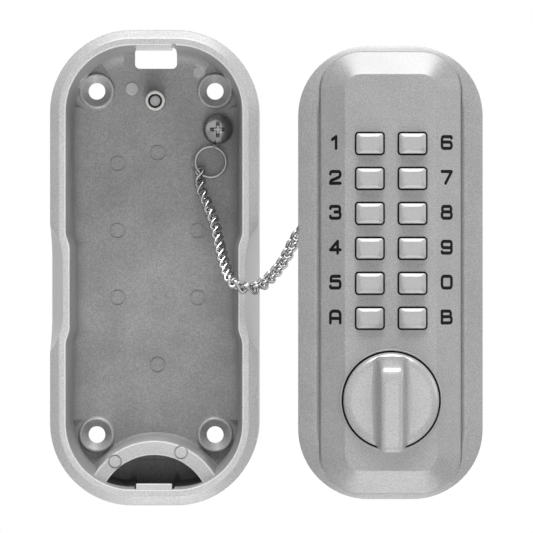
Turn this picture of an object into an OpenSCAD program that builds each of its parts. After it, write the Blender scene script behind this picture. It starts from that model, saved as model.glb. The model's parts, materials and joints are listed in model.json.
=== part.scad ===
// Wall key safe with a push-button code lock, its cover taken off and held beside the body by a chain.
// Origin at the middle of the back face, +Z up, front towards -Y. Sizes in millimetres.

/* [Body] */
// Width of the body at the wall
body_w = 64; // [61:0.5:71]
// Height of the body at the wall
body_h = 145.2; // [143:0.2:161]
// Corner radius of the body at the wall
body_r = 25.3; // [22.5:0.1:27.5]
// Depth of the body from the wall to the rim
body_d = 32; // [30:0.5:40]
// Lean of each outer side, from wall to chamfer
body_draft = 0.4; // [0.2:0.1:1]
// Width of the chamfer round the rim
chamfer_in = 2.8; // [2:0.1:3.2]
// Depth of the chamfer round the rim
chamfer_d = 2.6; // [2:0.1:4]
// Thickness of the back plate
back_t = 3; // [2.5:0.5:5]
// Width of the flat rim
rim_t = 2.1; // [1.8:0.1:2.6]
// Lean of each inner side, from rim to floor
cavity_draft = 1.6; // [1:0.1:3]
// Length of the finger scallops
scallop_l = 42; // [30:1:60]
// Height of the scallops' middle
scallop_z = -6.3; // [-12:0.1:6]
// Depth of the scallops
scallop_t = 1.2; // [0.8:0.1:1.6]

/* [Wall fixing] */
// Distance between the wall holes, across
hole_dx = 36.5; // [32:0.5:38]
// Distance from the body's top to the upper wall holes
hole_top = 18.2; // [17:0.1:22]
// Distance from the body's bottom to the lower wall holes
hole_low = 21; // [19:0.1:24]
// Diameter of the wall holes
hole_d = 5.2; // [4:0.1:5.6]
// Diameter of the countersinks
sink_d = 9.4; // [8:0.1:9.8]
// Diameter of the bosses round the wall holes
boss_d = 10.6; // [10:0.1:12]
// Height of the bosses above the floor
boss_h = 1.4; // [0.8:0.1:2.5]

/* [Catches] */
// Width of the catch lips
lip_w = 11; // [9:0.5:14]
// Reach of the top lip into the opening
top_lip = 1.4; // [1:0.1:1.8]
// Reach of the bottom lip into the opening
bottom_lip = 1.8; // [1.4:0.1:2.2]
// Depth of the lips behind the rim
lip_t = 2.5; // [2:0.1:2.8]
// Width of the slot behind the top lip
slot_w = 13; // [12:0.5:16]
// Height of the slot behind the top lip
slot_h = 6.5; // [4:0.5:8]
// Inner radius of the arch-shaped dam
arch_r = 17; // [15:0.5:19]
// Thickness of the dam
arch_t = 5.5; // [3:0.5:6]
// Depth of the dam's top behind the rim
arch_drop = 5.8; // [5.4:0.1:10]
// Width of the lined slot behind the bottom lip
liner_w = 12; // [10:0.5:14]

/* [Key peg] */
// Outer diameter of the peg
peg_d = 6.2; // [5:0.1:8]
// Diameter of the peg's bore
peg_bore = 4.2; // [3.6:0.1:4.6]
// Diameter of the pin in the peg
peg_pin_d = 3.4; // [2.5:0.1:3.5]
// Length of the peg above the floor
peg_l = 13; // [8:0.5:15]
// Distance from the body's top to the peg
peg_drop = 21.6; // [19:0.1:26]

/* [Chain] */
// Diameter of the chain screw's head
chain_screw_d = 9.2; // [8:0.1:10]
// Distance from the body's side to the chain screw
chain_screw_in = 12.9; // [12.5:0.1:14.5]
// Distance from the body's top to the chain screw
chain_screw_drop = 30.1; // [29:0.1:31]
// Middle radius of the jump ring
ring_r = 4.7; // [4.3:0.1:5]
// Wire diameter of the jump ring
ring_wire = 0.75; // [0.6:0.05:0.9]
// Length of a chain link
link_l = 5.2; // [4.8:0.1:5.4]
// Width of a chain link
link_w = 3.4; // [3.2:0.1:3.6]
// Wire diameter of the chain
link_wire = 0.75; // [0.6:0.05:0.8]

/* [Cover] */
// Overlap of the cover on the rim, each side
cover_lap_x = 0.9; // [0.6:0.1:1.2]
// Overlap of the cover on the rim, each end
cover_lap_z = 0.5; // [0.4:0.1:1.2]
// Gap between the closed cover and the rim
seat_gap = 0.2; // [0.1:0.05:0.4]
// Thickness of the flange's edge
edge_t = 1; // [0.8:0.1:1.5]
// Height of the flange slope
flange_rise = 4; // [3:0.1:4.5]
// Width of the flange slope
flange_in = 7.3; // [6:0.1:8]
// Width of the raised plateau
plateau_w = 41.9; // [40:0.1:44]
// Distance from the plateau's end to the cover's end
plateau_end = 1.6; // [1:0.1:3]
// Corner radius of the plateau
plateau_r = 12; // [10:0.5:14]
// Height of the plateau's edge above the rim
plateau_edge = 5; // [4.6:0.1:6]
// Width of the plateau's bevels
bevel_in = 7.2; // [6:0.1:8]
// Height of the plateau's flat above the rim
plateau_top = 10; // [9.5:0.1:12]
// Thickness of the cover behind the flat
cover_t = 2.5; // [2:0.1:3]

/* [Buttons] */
// Distance between the two columns
button_dx = 12.7; // [12:0.1:13.5]
// Distance between the rows
button_dz = 10.4; // [10:0.1:11]
// Height of the top row on the cover
button_z = 38.4; // [36:0.1:40]
// Width of a button
button_w = 8; // [7:0.1:9]
// Height of a button
button_h = 6; // [5:0.1:6.6]
// Gap round a button
button_gap = 0.4; // [0.3:0.05:0.5]
// Height of a button above the flat
button_proud = 2; // [1.9:0.1:2.5]
// Travel of a button
button_travel = 1.8; // [1.2:0.1:2]
// Diameter of a button's stem
stem_d = 4; // [3.6:0.1:4.4]
// Diameter of a code pin
code_pin_d = 2.6; // [2:0.1:2.8]

/* [Knob and latch] */
// Diameter of the knob
knob_d = 29; // [26:0.5:30]
// Height of the knob on the cover
knob_z = -38; // [-40:0.5:-36]
// Height of the knob's disc
knob_disc = 3.6; // [3:0.1:5]
// Height of the grip bar above the disc
grip_h = 8.4; // [6:0.1:10]
// Width of the grip bar at its front
grip_w = 5.8; // [5:0.1:7]
// Length of the ramp at the grip bar's upper end
grip_ramp = 3.6; // [2:0.1:5]
// Diameter of the spindle
spindle_d = 7; // [6:0.1:8]
// Running clearance round the spindle
run_gap = 0.06; // [0.04:0.01:0.1]
// Travel of the latch bolt
latch_travel = 2.6; // [2.3:0.1:2.9]
// Width of the latch bolt
bolt_w = 9; // [8:0.1:9.6]
// Thickness of the latch bolt
bolt_t = 2.2; // [1.6:0.1:2.4]

/* [Mechanism] */
// Width of the mechanism case
case_w = 38; // [37:0.1:39]
// Height of the mechanism case's top on the cover
case_top = 56; // [54:0.5:57]
// Depth of the mechanism case's bottom on the cover
case_low = 51; // [50:0.1:51.2]
// Depth of the mechanism case behind the rim
case_d = 11; // [10.5:0.1:12]
// Wall of the mechanism case
case_t = 1.6; // [1.2:0.1:2]
// Thickness of the guide plate
guide_t = 2; // [1.6:0.1:2.4]
// Thickness of the rear plate
rear_t = 1.5; // [1:0.1:2]
// Diameter of the rear screws
screw_d = 3; // [2.6:0.1:3.2]
// Thickness of the latch slide
slide_t = 1.5; // [1.2:0.1:1.8]

/* [Cover's place beside the body] */
// Distance of the cover to the side of the body
aside_x = 71.2; // [68:0.1:75]
// Distance of the cover below the body's middle
aside_z = 1.5; // [0:0.1:3]
// Distance of the cover in front of its closed place
lift = 18.5; // [18:0.1:20]

/* [Hidden] */
BUTTONS = ["1", "2", "3", "4", "5", "a", "6", "7", "8", "9", "0", "b"];
$fn = 48;
eps = 0.5;

// Colours
CAST = [0.72, 0.72, 0.74];
STEEL = [0.8, 0.8, 0.82];
DARK = [0.12, 0.12, 0.13];
BRASS = [0.75, 0.62, 0.32];
ZINC = [0.62, 0.63, 0.66];

// Opening inside the rim
rim_in = body_draft + chamfer_in;
open_w = body_w - 2 * (rim_in + rim_t);
open_h = body_h - 2 * (rim_in + rim_t);
open_r = body_r - rim_in - rim_t;
floor_y = -back_t;
rim_y = -body_d;
chamfer_y = rim_y + chamfer_d;
cavity_lean = atan2(cavity_draft, body_d - back_t);
scallop_lean = atan2(rim_in + scallop_t, body_d - back_t);
scallop_ramp = 6;

// Catches
lip_y = rim_y + lip_t;
catch_gap = 0.5;
hook_gap = 0.8;
hook_t = 1.6;
catch_depth = 5;
catch_bite = 0.1;
hook_reach = open_h / 2 - catch_bite;
bolt_reach = open_h / 2 + catch_bite;
room_gap = 0.5;
room_h = 3;
bolt_room = 0.7;
arch_below = 1.5;
arch_z = -(body_h / 2 + arch_below);
arch_y = rim_y + arch_drop;
arch_lean = 1;
liner_gap = 0.1;
liner_z = -(open_h / 2 + catch_gap) + liner_gap;
liner_h = 8.5;
liner_t = 1.2;

// Wall holes
hole_dz = body_h - hole_top - hole_low;
hole_z = (hole_low - hole_top) / 2;

// Depth of metal left behind a blind hole, and the peg's spigot and floor
blind = 0.6;
peg_ledge = 0.6;
peg_floor = 1;
peg_z = body_h / 2 - peg_drop;
pin_sunk = 0.6;

// Chain screw, its tag and the jump ring below it
chain_screw_x = body_w / 2 - chain_screw_in;
chain_screw_z = body_h / 2 - chain_screw_drop;
chain_boss_step = 1;
chain_boss_h = 0.8;
tag_t = 0.6;
tag_reach = chain_screw_d / 2 + 1;
ear_w = 2;
ear_h = 3.4;
ring_turn = 12;
ring_y = floor_y - chain_boss_h - tag_t - 1.6;
chain_screw_at = [chain_screw_x, floor_y, chain_screw_z];
ring_drop = tag_reach + ring_r;
ring_at = [
    chain_screw_x - ring_drop * sin(ring_turn),
    ring_y,
    chain_screw_z - ring_drop * cos(ring_turn)
];

// Cover levels: the height above the closed cover's seat
cover_w = open_w + 2 * cover_lap_x;
cover_h = open_h + 2 * cover_lap_z;
cover_r = open_r + cover_lap_x;
plateau_h = cover_h - 2 * plateau_end;
seat_y = rim_y - seat_gap;
flat_y = seat_y - plateau_top;
pocket_gap = 0.2;
pocket_w = 26;
inner_top = plateau_top - cover_t;
knob_seat = 0.3;
knob_foot = 0.3;

// Buttons
cap_top = plateau_top + button_proud;
cap_edge = 0.9;
cap_slope = 0.7;
cap_r = 1.2;
flange_lap = 0.6;
flange_t = 1;
retain_gap = 0.1;
tail_level = -5;
code_pin_l = 4;
stem_gap = 0.1;
spring_gap = 0.3;
spring_wall = 0.8;
button_flange = inner_top - retain_gap;
spring_top = button_flange - flange_t;

// Knob, cam and latch
knob_turn = 90;
grip_edge = 0.7;
cam_level = -0.3;
cam_t = 2;
cam_r = 5.5;
cam_pin_r = 1.2;
cam_throw = latch_travel / (2 * sin(knob_turn / 2));
yoke_gap = 0.2;
slide_level = cam_level - cam_t - 0.3;
slide_w = 24;
slide_head = 7.5;
slide_foot = 9;
slide_top = button_z + slide_head;
slide_bottom = knob_z - slide_foot;
rail_gap = 0.15;
rail_w = 2;
bolt_level = seat_y - lip_y - catch_gap;
clip_gap = 0.3;
clip_t = 0.8;

// Case screws
post_x = case_w / 2 - case_t - 1.9;
case_z = (case_top - case_low) / 2;
post_z = (case_top + case_low) / 2 - case_t - 2.4;
post_d = 6;
screw_bite = 3.6;
screw_head_d = 5.4;
screw_head_t = 1.4;

// Chain anchor on the back of the cover
anchor_in = 5;
anchor_x = -(case_w / 2 - anchor_in);
anchor_z = 16;
anchor_shank = 1.3;
anchor_head = 3.2;
anchor_stand = 3.4;
anchor_head_t = 1.2;

// Route of the chain, points chosen by hand: first from the ring's middle, then from the anchor
anchor_at = [aside_x + anchor_x, seat_y + case_d + rear_t - lift, anchor_z - aside_z];
RING_ROUTE = [
    [-3.5, 0, -4.25], [-3.75, -0.7, -7.55], [-2.85, -2.2, -10.75], [-1.45, -4.6, -14.15],
    [0.15, -7.8, -18.15], [1.95, -13, -24.35], [3.55, -19, -29.95], [5.35, -24.6, -34.55]
];
ANCHOR_ROUTE = [
    [-33.2, 3.6, -19.1], [-29.8, 2, -20.6], [-26.6, 1.7, -20.6], [-23.5, 1.8, -18.9],
    [-20.6, 2, -16.2], [-18, 2, -12.8], [-16, 2, -9.1], [-14.2, 2, -5.7],
    [-12, 2, -2.9], [-9, 2, -0.9], [-5.2, 1.9, -0.1], [-0.9, 1.7, 0]
];
CHAIN_ROUTE = concat([for (p = RING_ROUTE) ring_at + p], [for (p = ANCHOR_ROUTE) anchor_at + p]);
chain_pitch = 3.3;
chain_upper_share = 0.4;
chain_run_share = 0.92;

// Shapes that repeat

// Flat shape drawn in X and Z, made solid from y0 back to y1
module along_y(y0, y1) {
    translate([0, y1, 0]) rotate([90, 0, 0]) linear_extrude(y1 - y0) children();
}

// Flat rectangle with round corners
module round_rect(w, h, r) {
    square([w, h - 2 * r], center = true);
    square([w - 2 * r, h], center = true);
    for (sx = [-1, 1], sz = [-1, 1])
        translate([sx * (w / 2 - r), sz * (h / 2 - r)]) circle(r);
}

// Rod along Y, from y0 back to y1
module rod(d, y0, y1) {
    translate([0, y1, 0]) rotate([90, 0, 0]) cylinder(d = d, h = y1 - y0);
}

// Cone along Y between two diameters
module cone(d0, d1, y0, y1) {
    translate([0, y1, 0]) rotate([90, 0, 0]) cylinder(d1 = d1, d2 = d0, h = y1 - y0);
}

// Block with round corners whose sides lean in by inset, from y_big to y_small
module leaning_block(w, h, r, inset, y_big, y_small) {
    side = y_big > y_small ? 90 : -90;
    for (sx = [-1, 1], sz = [-1, 1])
        translate([sx * (w / 2 - r), y_big, sz * (h / 2 - r)])
            rotate([side, 0, 0]) cylinder(r1 = r, r2 = r - inset, h = abs(y_big - y_small));
    leaning_prism(w, inset, y_big, y_small, h - 2 * r);
    rotate([0, -90, 0]) leaning_prism(h, inset, y_big, y_small, w - 2 * r);
}

// Prism along Z with a trapezoid section in X and Y
module leaning_prism(w, inset, y_big, y_small, length) {
    linear_extrude(length, center = true) polygon([
        [-w / 2, y_big],
        [w / 2, y_big],
        [w / 2 - inset, y_small],
        [-w / 2 + inset, y_small]
    ]);
}

// Places children on the cover, which lies beside the body
module on_cover() {
    translate([aside_x, -lift, -aside_z]) children();
}

// y of a height above the cover's seat
function level(h) = seat_y - h;

// Block on the cover from level l0 to level l1
module cover_box(x0, x1, z0, z1, l0, l1) {
    translate([x0, level(l1), z0]) cube([x1 - x0, l1 - l0, z1 - z0]);
}

// Column and row of button i on the cover
function button_at(i) = [
    (i < 6 ? -1 : 1) * button_dx / 2,
    0,
    button_z - (i % 6) * button_dz
];

// Places children at both ends and both sides of a rectangle
module corners(dx, dz) {
    for (sx = [-1, 1], sz = [-1, 1]) translate([sx * dx, 0, sz * dz]) children();
}

// Places children at the four screws of the mechanism case
module case_corners() {
    translate([0, 0, case_z]) corners(post_x, post_z) children();
}

// Body

module scallop_shape(depth) {
    polygon([
        [0, -scallop_l / 2],
        [depth, -scallop_l / 2 + scallop_ramp],
        [depth, scallop_l / 2 - scallop_ramp],
        [0, scallop_l / 2]
    ]);
}

// Cove cut from each outer side for the fingers, deepest at the rim
module scallop_cut(side) {
    mirror([side > 0 ? 0 : 1, 0, 0])
        translate([body_w / 2, floor_y, scallop_z])
            rotate([0, 0, -scallop_lean])
                rotate([0, 90, 0]) linear_extrude(2 * (rim_in + scallop_t)) polygon([
                    [-scallop_l / 2, 0],
                    [scallop_l / 2, 0],
                    [scallop_l / 2 - scallop_ramp, -body_d],
                    [-scallop_l / 2 + scallop_ramp, -body_d]
                ]);
}

// Thickening of each inner side behind the scallop
module scallop_back(side) {
    mirror([side > 0 ? 0 : 1, 0, 0]) intersection() {
        translate([open_w / 2, rim_y, scallop_z])
            rotate([0, 0, cavity_lean])
                along_y(-eps, body_d - back_t + eps) {
                    mirror([1, 0]) scallop_shape(scallop_t);
                    translate([0, -scallop_l / 2 + scallop_ramp])
                        square([rim_t / 4, scallop_l - 2 * scallop_ramp]);
                }
        translate([0, rim_y, -body_h / 2]) cube([body_w / 2, body_d - back_t / 2, body_h]);
    }
}

module body_outside() {
    along_y(floor_y, 0) round_rect(body_w, body_h, body_r);
    leaning_block(body_w, body_h, body_r, body_draft, floor_y, chamfer_y);
    leaning_block(
        body_w - 2 * body_draft, body_h - 2 * body_draft, body_r - body_draft, chamfer_in, chamfer_y, rim_y
    );
}

module body_cavity() {
    leaning_block(open_w, open_h, open_r, cavity_draft, rim_y, floor_y);
    along_y(rim_y - eps, rim_y) round_rect(open_w, open_h, open_r);
}

module wall_holes() {
    translate([0, 0, hole_z]) corners(hole_dx / 2, hole_dz / 2) {
        rod(hole_d, floor_y - boss_h - eps, eps);
        cone(sink_d, hole_d, floor_y - boss_h, floor_y - boss_h + (sink_d - hole_d) / 2);
    }
}

module wall_bosses() {
    translate([0, 0, hole_z]) corners(hole_dx / 2, hole_dz / 2)
        rod(boss_d, floor_y - boss_h, floor_y + back_t / 3);
}

// Rooms behind the two lips for the hook and the bolt, and the slots behind the lips
module catch_rooms() {
    room = lip_w + 2 * room_gap;
    translate([-room / 2, lip_y, open_h / 2 - room_h])
        cube([room, catch_depth + hook_gap, room_h + catch_gap]);
    translate([-room / 2, lip_y, -open_h / 2 - bolt_room])
        cube([room, catch_depth + catch_gap, room_h]);
    translate([-slot_w / 2, lip_y, open_h / 2 + catch_gap - slot_h])
        cube([slot_w, eps - lip_y, slot_h]);
    translate([-liner_w / 2 - liner_gap, lip_y, liner_z - liner_gap])
        cube([
            liner_w + 2 * liner_gap,
            floor_y + liner_t + liner_gap - lip_y,
            liner_h + 2 * liner_gap
        ]);
}

module lips() {
    translate([-lip_w / 2, rim_y, open_h / 2 - top_lip])
        cube([lip_w, lip_t, top_lip + rim_t / 2]);
    translate([-lip_w / 2, rim_y, -open_h / 2 - rim_t / 2])
        cube([lip_w, lip_t, bottom_lip + rim_t / 2]);
}

// Curved wall round the latch's room at the bottom
module dam() {
    intersection() {
        difference() {
            translate([0, 0, arch_z]) union() {
                cone(2 * (arch_r + arch_t - arch_lean), 2 * (arch_r + arch_t), arch_y, floor_y);
                rod(2 * (arch_r + arch_t), floor_y, floor_y + back_t / 3);
            }
            translate([0, 0, arch_z]) rod(2 * arch_r, arch_y - eps, floor_y + back_t);
        }
        leaning_block(
            open_w + rim_t, open_h + rim_t, open_r + rim_t / 2, cavity_draft, rim_y, floor_y + back_t / 2
        );
    }
}

module body_shell() {
    color(CAST) difference() {
        union() {
            difference() {
                body_outside();
                body_cavity();
                for (side = [-1, 1]) scallop_cut(side);
            }
            for (side = [-1, 1]) scallop_back(side);
            lips();
            dam();
            wall_bosses();
            translate(chain_screw_at) rod(chain_screw_d - 2 * chain_boss_step, -chain_boss_h, back_t / 3);
        }
        wall_holes();
        catch_rooms();
        translate(chain_screw_at) rod(screw_d, -chain_boss_h - eps, back_t - blind);
        translate([0, floor_y, peg_z]) rod(peg_d - 2 * peg_ledge, -eps, back_t - blind);
    }
}

module slot_liner() {
    color(DARK) translate([-liner_w / 2, floor_y, liner_z]) cube([liner_w, liner_t, liner_h]);
}

module key_peg() {
    color(STEEL) translate([0, floor_y, peg_z]) difference() {
        union() {
            rod(peg_d, -peg_l, 0);
            rod(peg_d - 2 * peg_ledge, 0, back_t - blind);
        }
        rod(peg_bore, -peg_l - eps, -peg_floor);
    }
}

module key_peg_pin() {
    color(STEEL) translate([0, floor_y, peg_z]) {
        rod(peg_pin_d, -peg_l + pin_sunk, -2 * peg_floor);
        rod(peg_bore, -2 * peg_floor, -peg_floor);
    }
}

// Chain and what holds it to the body

module chain_screw() {
    head_y = -chain_boss_h - tag_t;
    color(STEEL) translate(chain_screw_at) difference() {
        union() {
            cone(chain_screw_d * 0.55, chain_screw_d, head_y - 2.4, head_y - 0.8);
            rod(chain_screw_d, head_y - 0.8, head_y);
            rod(screw_d, head_y, back_t - blind - eps);
        }
        for (turn = [0, 90]) rotate([0, turn, 0])
            translate([-2, head_y - 2.4 - eps, -0.4]) cube([4, 1.2 + eps, 0.8]);
    }
}

module chain_tag() {
    ear_y = ring_y - floor_y;
    color(STEEL) translate(chain_screw_at) difference() {
        union() {
            rod(chain_screw_d - 1.6, -chain_boss_h - tag_t, -chain_boss_h);
            rotate([0, ring_turn, 0]) {
                translate([-1, -chain_boss_h - tag_t, -tag_reach - ear_w / 2])
                    cube([2, tag_t, tag_reach]);
                translate([-tag_t / 2, -chain_boss_h - ear_h, -tag_reach - ear_w / 2])
                    cube([tag_t, ear_h, ear_w * 0.9]);
            }
        }
        rod(screw_d + 0.2, -chain_boss_h - tag_t - eps, eps);
        rotate([0, ring_turn, 0]) translate([0, ear_y, -tag_reach])
            rotate([0, 90, 0]) cylinder(d = ring_wire + 0.3, h = 3, center = true);
    }
}

module chain_ring() {
    color(STEEL) translate(ring_at) rotate([90, 0, 0])
        rotate_extrude() translate([ring_r, 0]) circle(d = ring_wire, $fn = 16);
}

// Length of the route up to point i
function route_length(i) = i == 0 ? 0 : route_length(i - 1) + norm(CHAIN_ROUTE[i] - CHAIN_ROUTE[i - 1]);

ROUTE_LENGTHS = [for (i = [0:len(CHAIN_ROUTE) - 1]) route_length(i)];
chain_length = ROUTE_LENGTHS[len(CHAIN_ROUTE) - 1];
chain_links = 2 * round(chain_length / chain_pitch / 2);

// Last route point at or before a distance along the route
function route_index(s) = max([for (i = [0:len(CHAIN_ROUTE) - 2]) if (ROUTE_LENGTHS[i] <= s + 0.001) i]);

function route_point(s) =
    let (i = route_index(s), t = (s - ROUTE_LENGTHS[i]) / (ROUTE_LENGTHS[i + 1] - ROUTE_LENGTHS[i]))
    CHAIN_ROUTE[i] * (1 - t) + CHAIN_ROUTE[i + 1] * t;

function unit(v) = v / norm(v);

function clamp_route(s) = max(0, min(chain_length, s));

function link_place(i) = i * chain_length / (chain_links - 1);

// Direction of the chain at a link, over one link's length
function link_way(i) =
    let (s = link_place(i))
    unit(route_point(clamp_route(s + link_l / 3)) - route_point(clamp_route(s - link_l / 3)));

// One oval link along Z, flat in X and Z
module link() {
    bend = (link_w - link_wire) / 2;
    straight = link_l - link_w;
    for (end = [0, 180]) rotate([0, end, 0]) {
        translate([0, 0, straight / 2]) rotate([90, 0, 0])
            rotate_extrude(angle = 180) translate([bend, 0]) circle(d = link_wire, $fn = 16);
        translate([bend, 0, -straight / 2]) cylinder(d = link_wire, h = straight, $fn = 16);
    }
}

// Link i on the route, turned a quarter from its neighbours
module placed_link(i) {
    way = link_way(i);
    across = unit(cross(way, [0, 1, 0]));
    up = cross(way, across);
    at = route_point(link_place(i));
    multmatrix([
        [across[0], up[0], way[0], at[0]],
        [across[1], up[1], way[1], at[1]],
        [across[2], up[2], way[2], at[2]],
        [0, 0, 0, 1]
    ]) rotate([0, 0, i % 2 == 0 ? 90 : 0]) link();
}

module chain_part(from, to) {
    color(STEEL)
        for (i = [0:chain_links - 1])
            if (i >= from * chain_links && i < to * chain_links) placed_link(i);
}

module chain_upper() {
    chain_part(0, chain_upper_share);
}

module chain_run() {
    chain_part(chain_upper_share, chain_run_share);
}

module chain_end() {
    chain_part(chain_run_share, 1.01);
}

// Cover

module cover_outside() {
    along_y(level(edge_t), level(0)) round_rect(cover_w, cover_h, cover_r);
    leaning_block(cover_w, cover_h, cover_r, flange_in, level(edge_t), level(flange_rise));
    along_y(level(plateau_edge), level(0)) round_rect(plateau_w, plateau_h, plateau_r);
    leaning_block(plateau_w, plateau_h, plateau_r, bevel_in, level(plateau_edge), level(plateau_top));
    translate([0, 0, knob_z]) rod(knob_d + 1.6, level(plateau_top + knob_seat), level(plateau_edge));
}

module button_holes() {
    for (i = [0:len(BUTTONS) - 1])
        translate(button_at(i)) along_y(level(plateau_top + eps), level(inner_top - eps))
            round_rect(button_w + 2 * button_gap, button_h + 2 * button_gap, cap_r + button_gap);
}

module cover_shell() {
    color(CAST) on_cover() difference() {
        cover_outside();
        cover_box(
            -case_w / 2 - pocket_gap, case_w / 2 + pocket_gap,
            -case_low - pocket_gap, case_top + pocket_gap,
            -eps, guide_t
        );
        cover_box(-pocket_w / 2, pocket_w / 2, -case_low, case_top, 0, inner_top);
        button_holes();
        translate([0, 0, knob_z])
            rod(spindle_d + 2 * run_gap, level(plateau_top + 1), level(inner_top - eps));
        case_corners() rod(screw_d, level(guide_t + screw_bite), level(0));
    }
}

// Mechanism

module case_walls() {
    difference() {
        cover_box(-case_w / 2, case_w / 2, -case_low, case_top, -case_d, guide_t);
        cover_box(
            -case_w / 2 + case_t, case_w / 2 - case_t,
            -case_low + case_t, case_top - case_t,
            -case_d - eps, 0
        );
        cover_box(
            -bolt_w / 2 - rail_gap, bolt_w / 2 + rail_gap,
            -case_low - eps, -case_low + case_t + eps,
            bolt_level - bolt_t - rail_gap, bolt_level + rail_gap
        );
    }
}

module slide_rails() {
    for (side = [0, 1]) mirror([side, 0, 0])
        cover_box(
            slide_w / 2 + rail_gap, slide_w / 2 + rail_gap + rail_w,
            slide_bottom, slide_top, slide_level - slide_t, 0
        );
}

module mechanism_case() {
    hook_level = seat_y - lip_y - hook_gap;
    color(ZINC) on_cover() difference() {
        union() {
            case_walls();
            slide_rails();
            case_corners() rod(post_d, level(0), level(-case_d));
            cover_box(
                -lip_w / 2 + 1, lip_w / 2 - 1, case_top - case_t, hook_reach,
                hook_level - hook_t, hook_level
            );
        }
        for (i = [0:len(BUTTONS) - 1])
            translate(button_at(i)) rod(stem_d + 2 * stem_gap, level(guide_t + eps), level(-eps));
        translate([0, 0, knob_z])
            rod(spindle_d + 2 * run_gap, level(guide_t + eps), level(-eps));
        case_corners()
            rod(screw_d + 0.2, level(guide_t + eps), level(-case_d - eps));
    }
}

module rear_plate() {
    color(ZINC) on_cover() difference() {
        cover_box(-case_w / 2, case_w / 2, -case_low, case_top, -case_d - rear_t, -case_d);
        case_corners()
            rod(screw_d + 0.2, level(-case_d + eps), level(-case_d - rear_t - eps));
        translate([anchor_x, 0, anchor_z])
            rod(anchor_shank, level(-case_d + eps), level(-case_d - rear_t - eps));
    }
}

module rear_screws() {
    back = -case_d - rear_t;
    color(STEEL) on_cover() case_corners() {
        rod(screw_d, level(guide_t + screw_bite), level(back));
        difference() {
            rod(screw_head_d, level(back), level(back - screw_head_t));
            for (turn = [0, 90]) rotate([0, turn, 0])
                translate([-1.4, level(back - screw_head_t + 0.8), -0.3]) cube([2.8, 0.8 + eps, 0.6]);
        }
    }
}

module cover_chain_screw() {
    head = -case_d - rear_t - anchor_stand;
    color(STEEL) on_cover() translate([anchor_x, 0, anchor_z]) {
        rod(anchor_shank, level(-case_d), level(head));
        rod(anchor_head, level(head), level(head - anchor_head_t));
    }
}

module button_springs() {
    color(STEEL) on_cover() for (i = [0:len(BUTTONS) - 1])
        translate(button_at(i)) difference() {
            rod(stem_d + 2 * (spring_gap + spring_wall), level(spring_top), level(guide_t));
            rod(stem_d + 2 * spring_gap, level(spring_top + eps), level(guide_t - eps));
        }
}

// Slots in the latch slide: one for each stem and one for the cam's pin
module slide_slots() {
    slot = stem_d + 0.6;
    for (i = [0:len(BUTTONS) - 1])
        translate(button_at(i))
            cover_box(
                -slot / 2, slot / 2, -slot / 2 - latch_travel, slot / 2,
                slide_level - slide_t - eps, slide_level + eps
            );
    yoke = cam_pin_r + yoke_gap;
    pin_drop = cam_throw * sin(knob_turn / 2);
    translate([0, 0, knob_z - pin_drop])
        cover_box(
            -cam_throw - yoke, -cam_throw * cos(knob_turn / 2) + yoke, -yoke, yoke,
            slide_level - slide_t - eps, slide_level + eps
        );
}

module latch_slide() {
    color(STEEL) on_cover() {
        difference() {
            cover_box(
                -slide_w / 2, slide_w / 2, slide_bottom, slide_top, slide_level - slide_t, slide_level
            );
            slide_slots();
        }
        cover_box(
            -bolt_w / 2, bolt_w / 2, -bolt_reach, slide_bottom + 3, bolt_level - bolt_t, bolt_level
        );
    }
}

module latch_spring() {
    mid = level(slide_level - slide_t / 2);
    room = case_top - case_t - slide_top;
    color(STEEL) on_cover() translate([0, mid, slide_top + 0.1]) difference() {
        cylinder(d = 4, h = room - 0.2);
        translate([0, 0, -eps]) cylinder(d = 2.6, h = room + 2 * eps);
    }
}

// Knob and what turns with it

// Grip bar across the knob's face
module grip() {
    root = plateau_top + knob_seat + knob_foot + knob_disc;
    intersection() {
        linear_extrude(knob_d, center = true) polygon([
            [-grip_w / 2 - 1.2, level(root - 1)],
            [grip_w / 2 + 1.2, level(root - 1)],
            [grip_w / 2, level(root + grip_h)],
            [-grip_w / 2, level(root + grip_h)]
        ]);
        rotate([90, 0, 90]) linear_extrude(knob_d, center = true) polygon([
            [level(root - 1), -knob_d / 2],
            [level(root + grip_h), -knob_d / 2],
            [level(root + grip_h), knob_d / 2 - grip_edge - grip_ramp],
            [level(root), knob_d / 2 - grip_edge],
            [level(root - 1), knob_d / 2 - grip_edge]
        ]);
        rod(knob_d - 2 * grip_edge, level(root + grip_h + 1), level(root - 2));
    }
}

module knob() {
    foot = plateau_top + knob_seat + knob_foot;
    color(CAST) on_cover() translate([0, 0, knob_z]) difference() {
        union() {
            rod(knob_d, level(foot + knob_disc - 1), level(foot));
            cone(knob_d - 2.4, knob_d, level(foot + knob_disc), level(foot + knob_disc - 1));
            grip();
        }
        rod(spindle_d, level(foot + knob_disc + 1), level(foot - eps));
    }
}

module spindle() {
    foot = plateau_top + knob_seat + knob_foot;
    color(ZINC) on_cover() translate([0, 0, knob_z]) difference() {
        rod(spindle_d, level(foot + knob_disc + 1), level(cam_level));
        clip_cut(spindle_d + 1);
    }
}

// Ring of room for the clip, just in front of the guide plate
module clip_cut(outer) {
    difference() {
        rod(outer, level(guide_t + clip_gap + clip_t), level(guide_t + clip_gap));
        rod(spindle_d - 1.2, level(guide_t + clip_gap + clip_t + eps), level(guide_t + clip_gap - eps));
    }
}

module spindle_clip() {
    mouth = spindle_d - 1.8;
    color(STEEL) on_cover() translate([0, 0, knob_z]) difference() {
        clip_cut(spindle_d + 3.6);
        translate([-mouth / 2, level(guide_t + 3), -spindle_d]) cube([mouth, 3, spindle_d]);
    }
}

module cam() {
    color(ZINC) on_cover() translate([0, 0, knob_z]) {
        rod(2 * cam_r, level(cam_level), level(cam_level - cam_t));
        rotate([0, -knob_turn / 2, 0]) translate([-cam_throw, 0, 0])
            rod(2 * cam_pin_r, level(cam_level - cam_t), level(slide_level - slide_t - 0.4));
    }
}

// Buttons and their code pins

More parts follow.
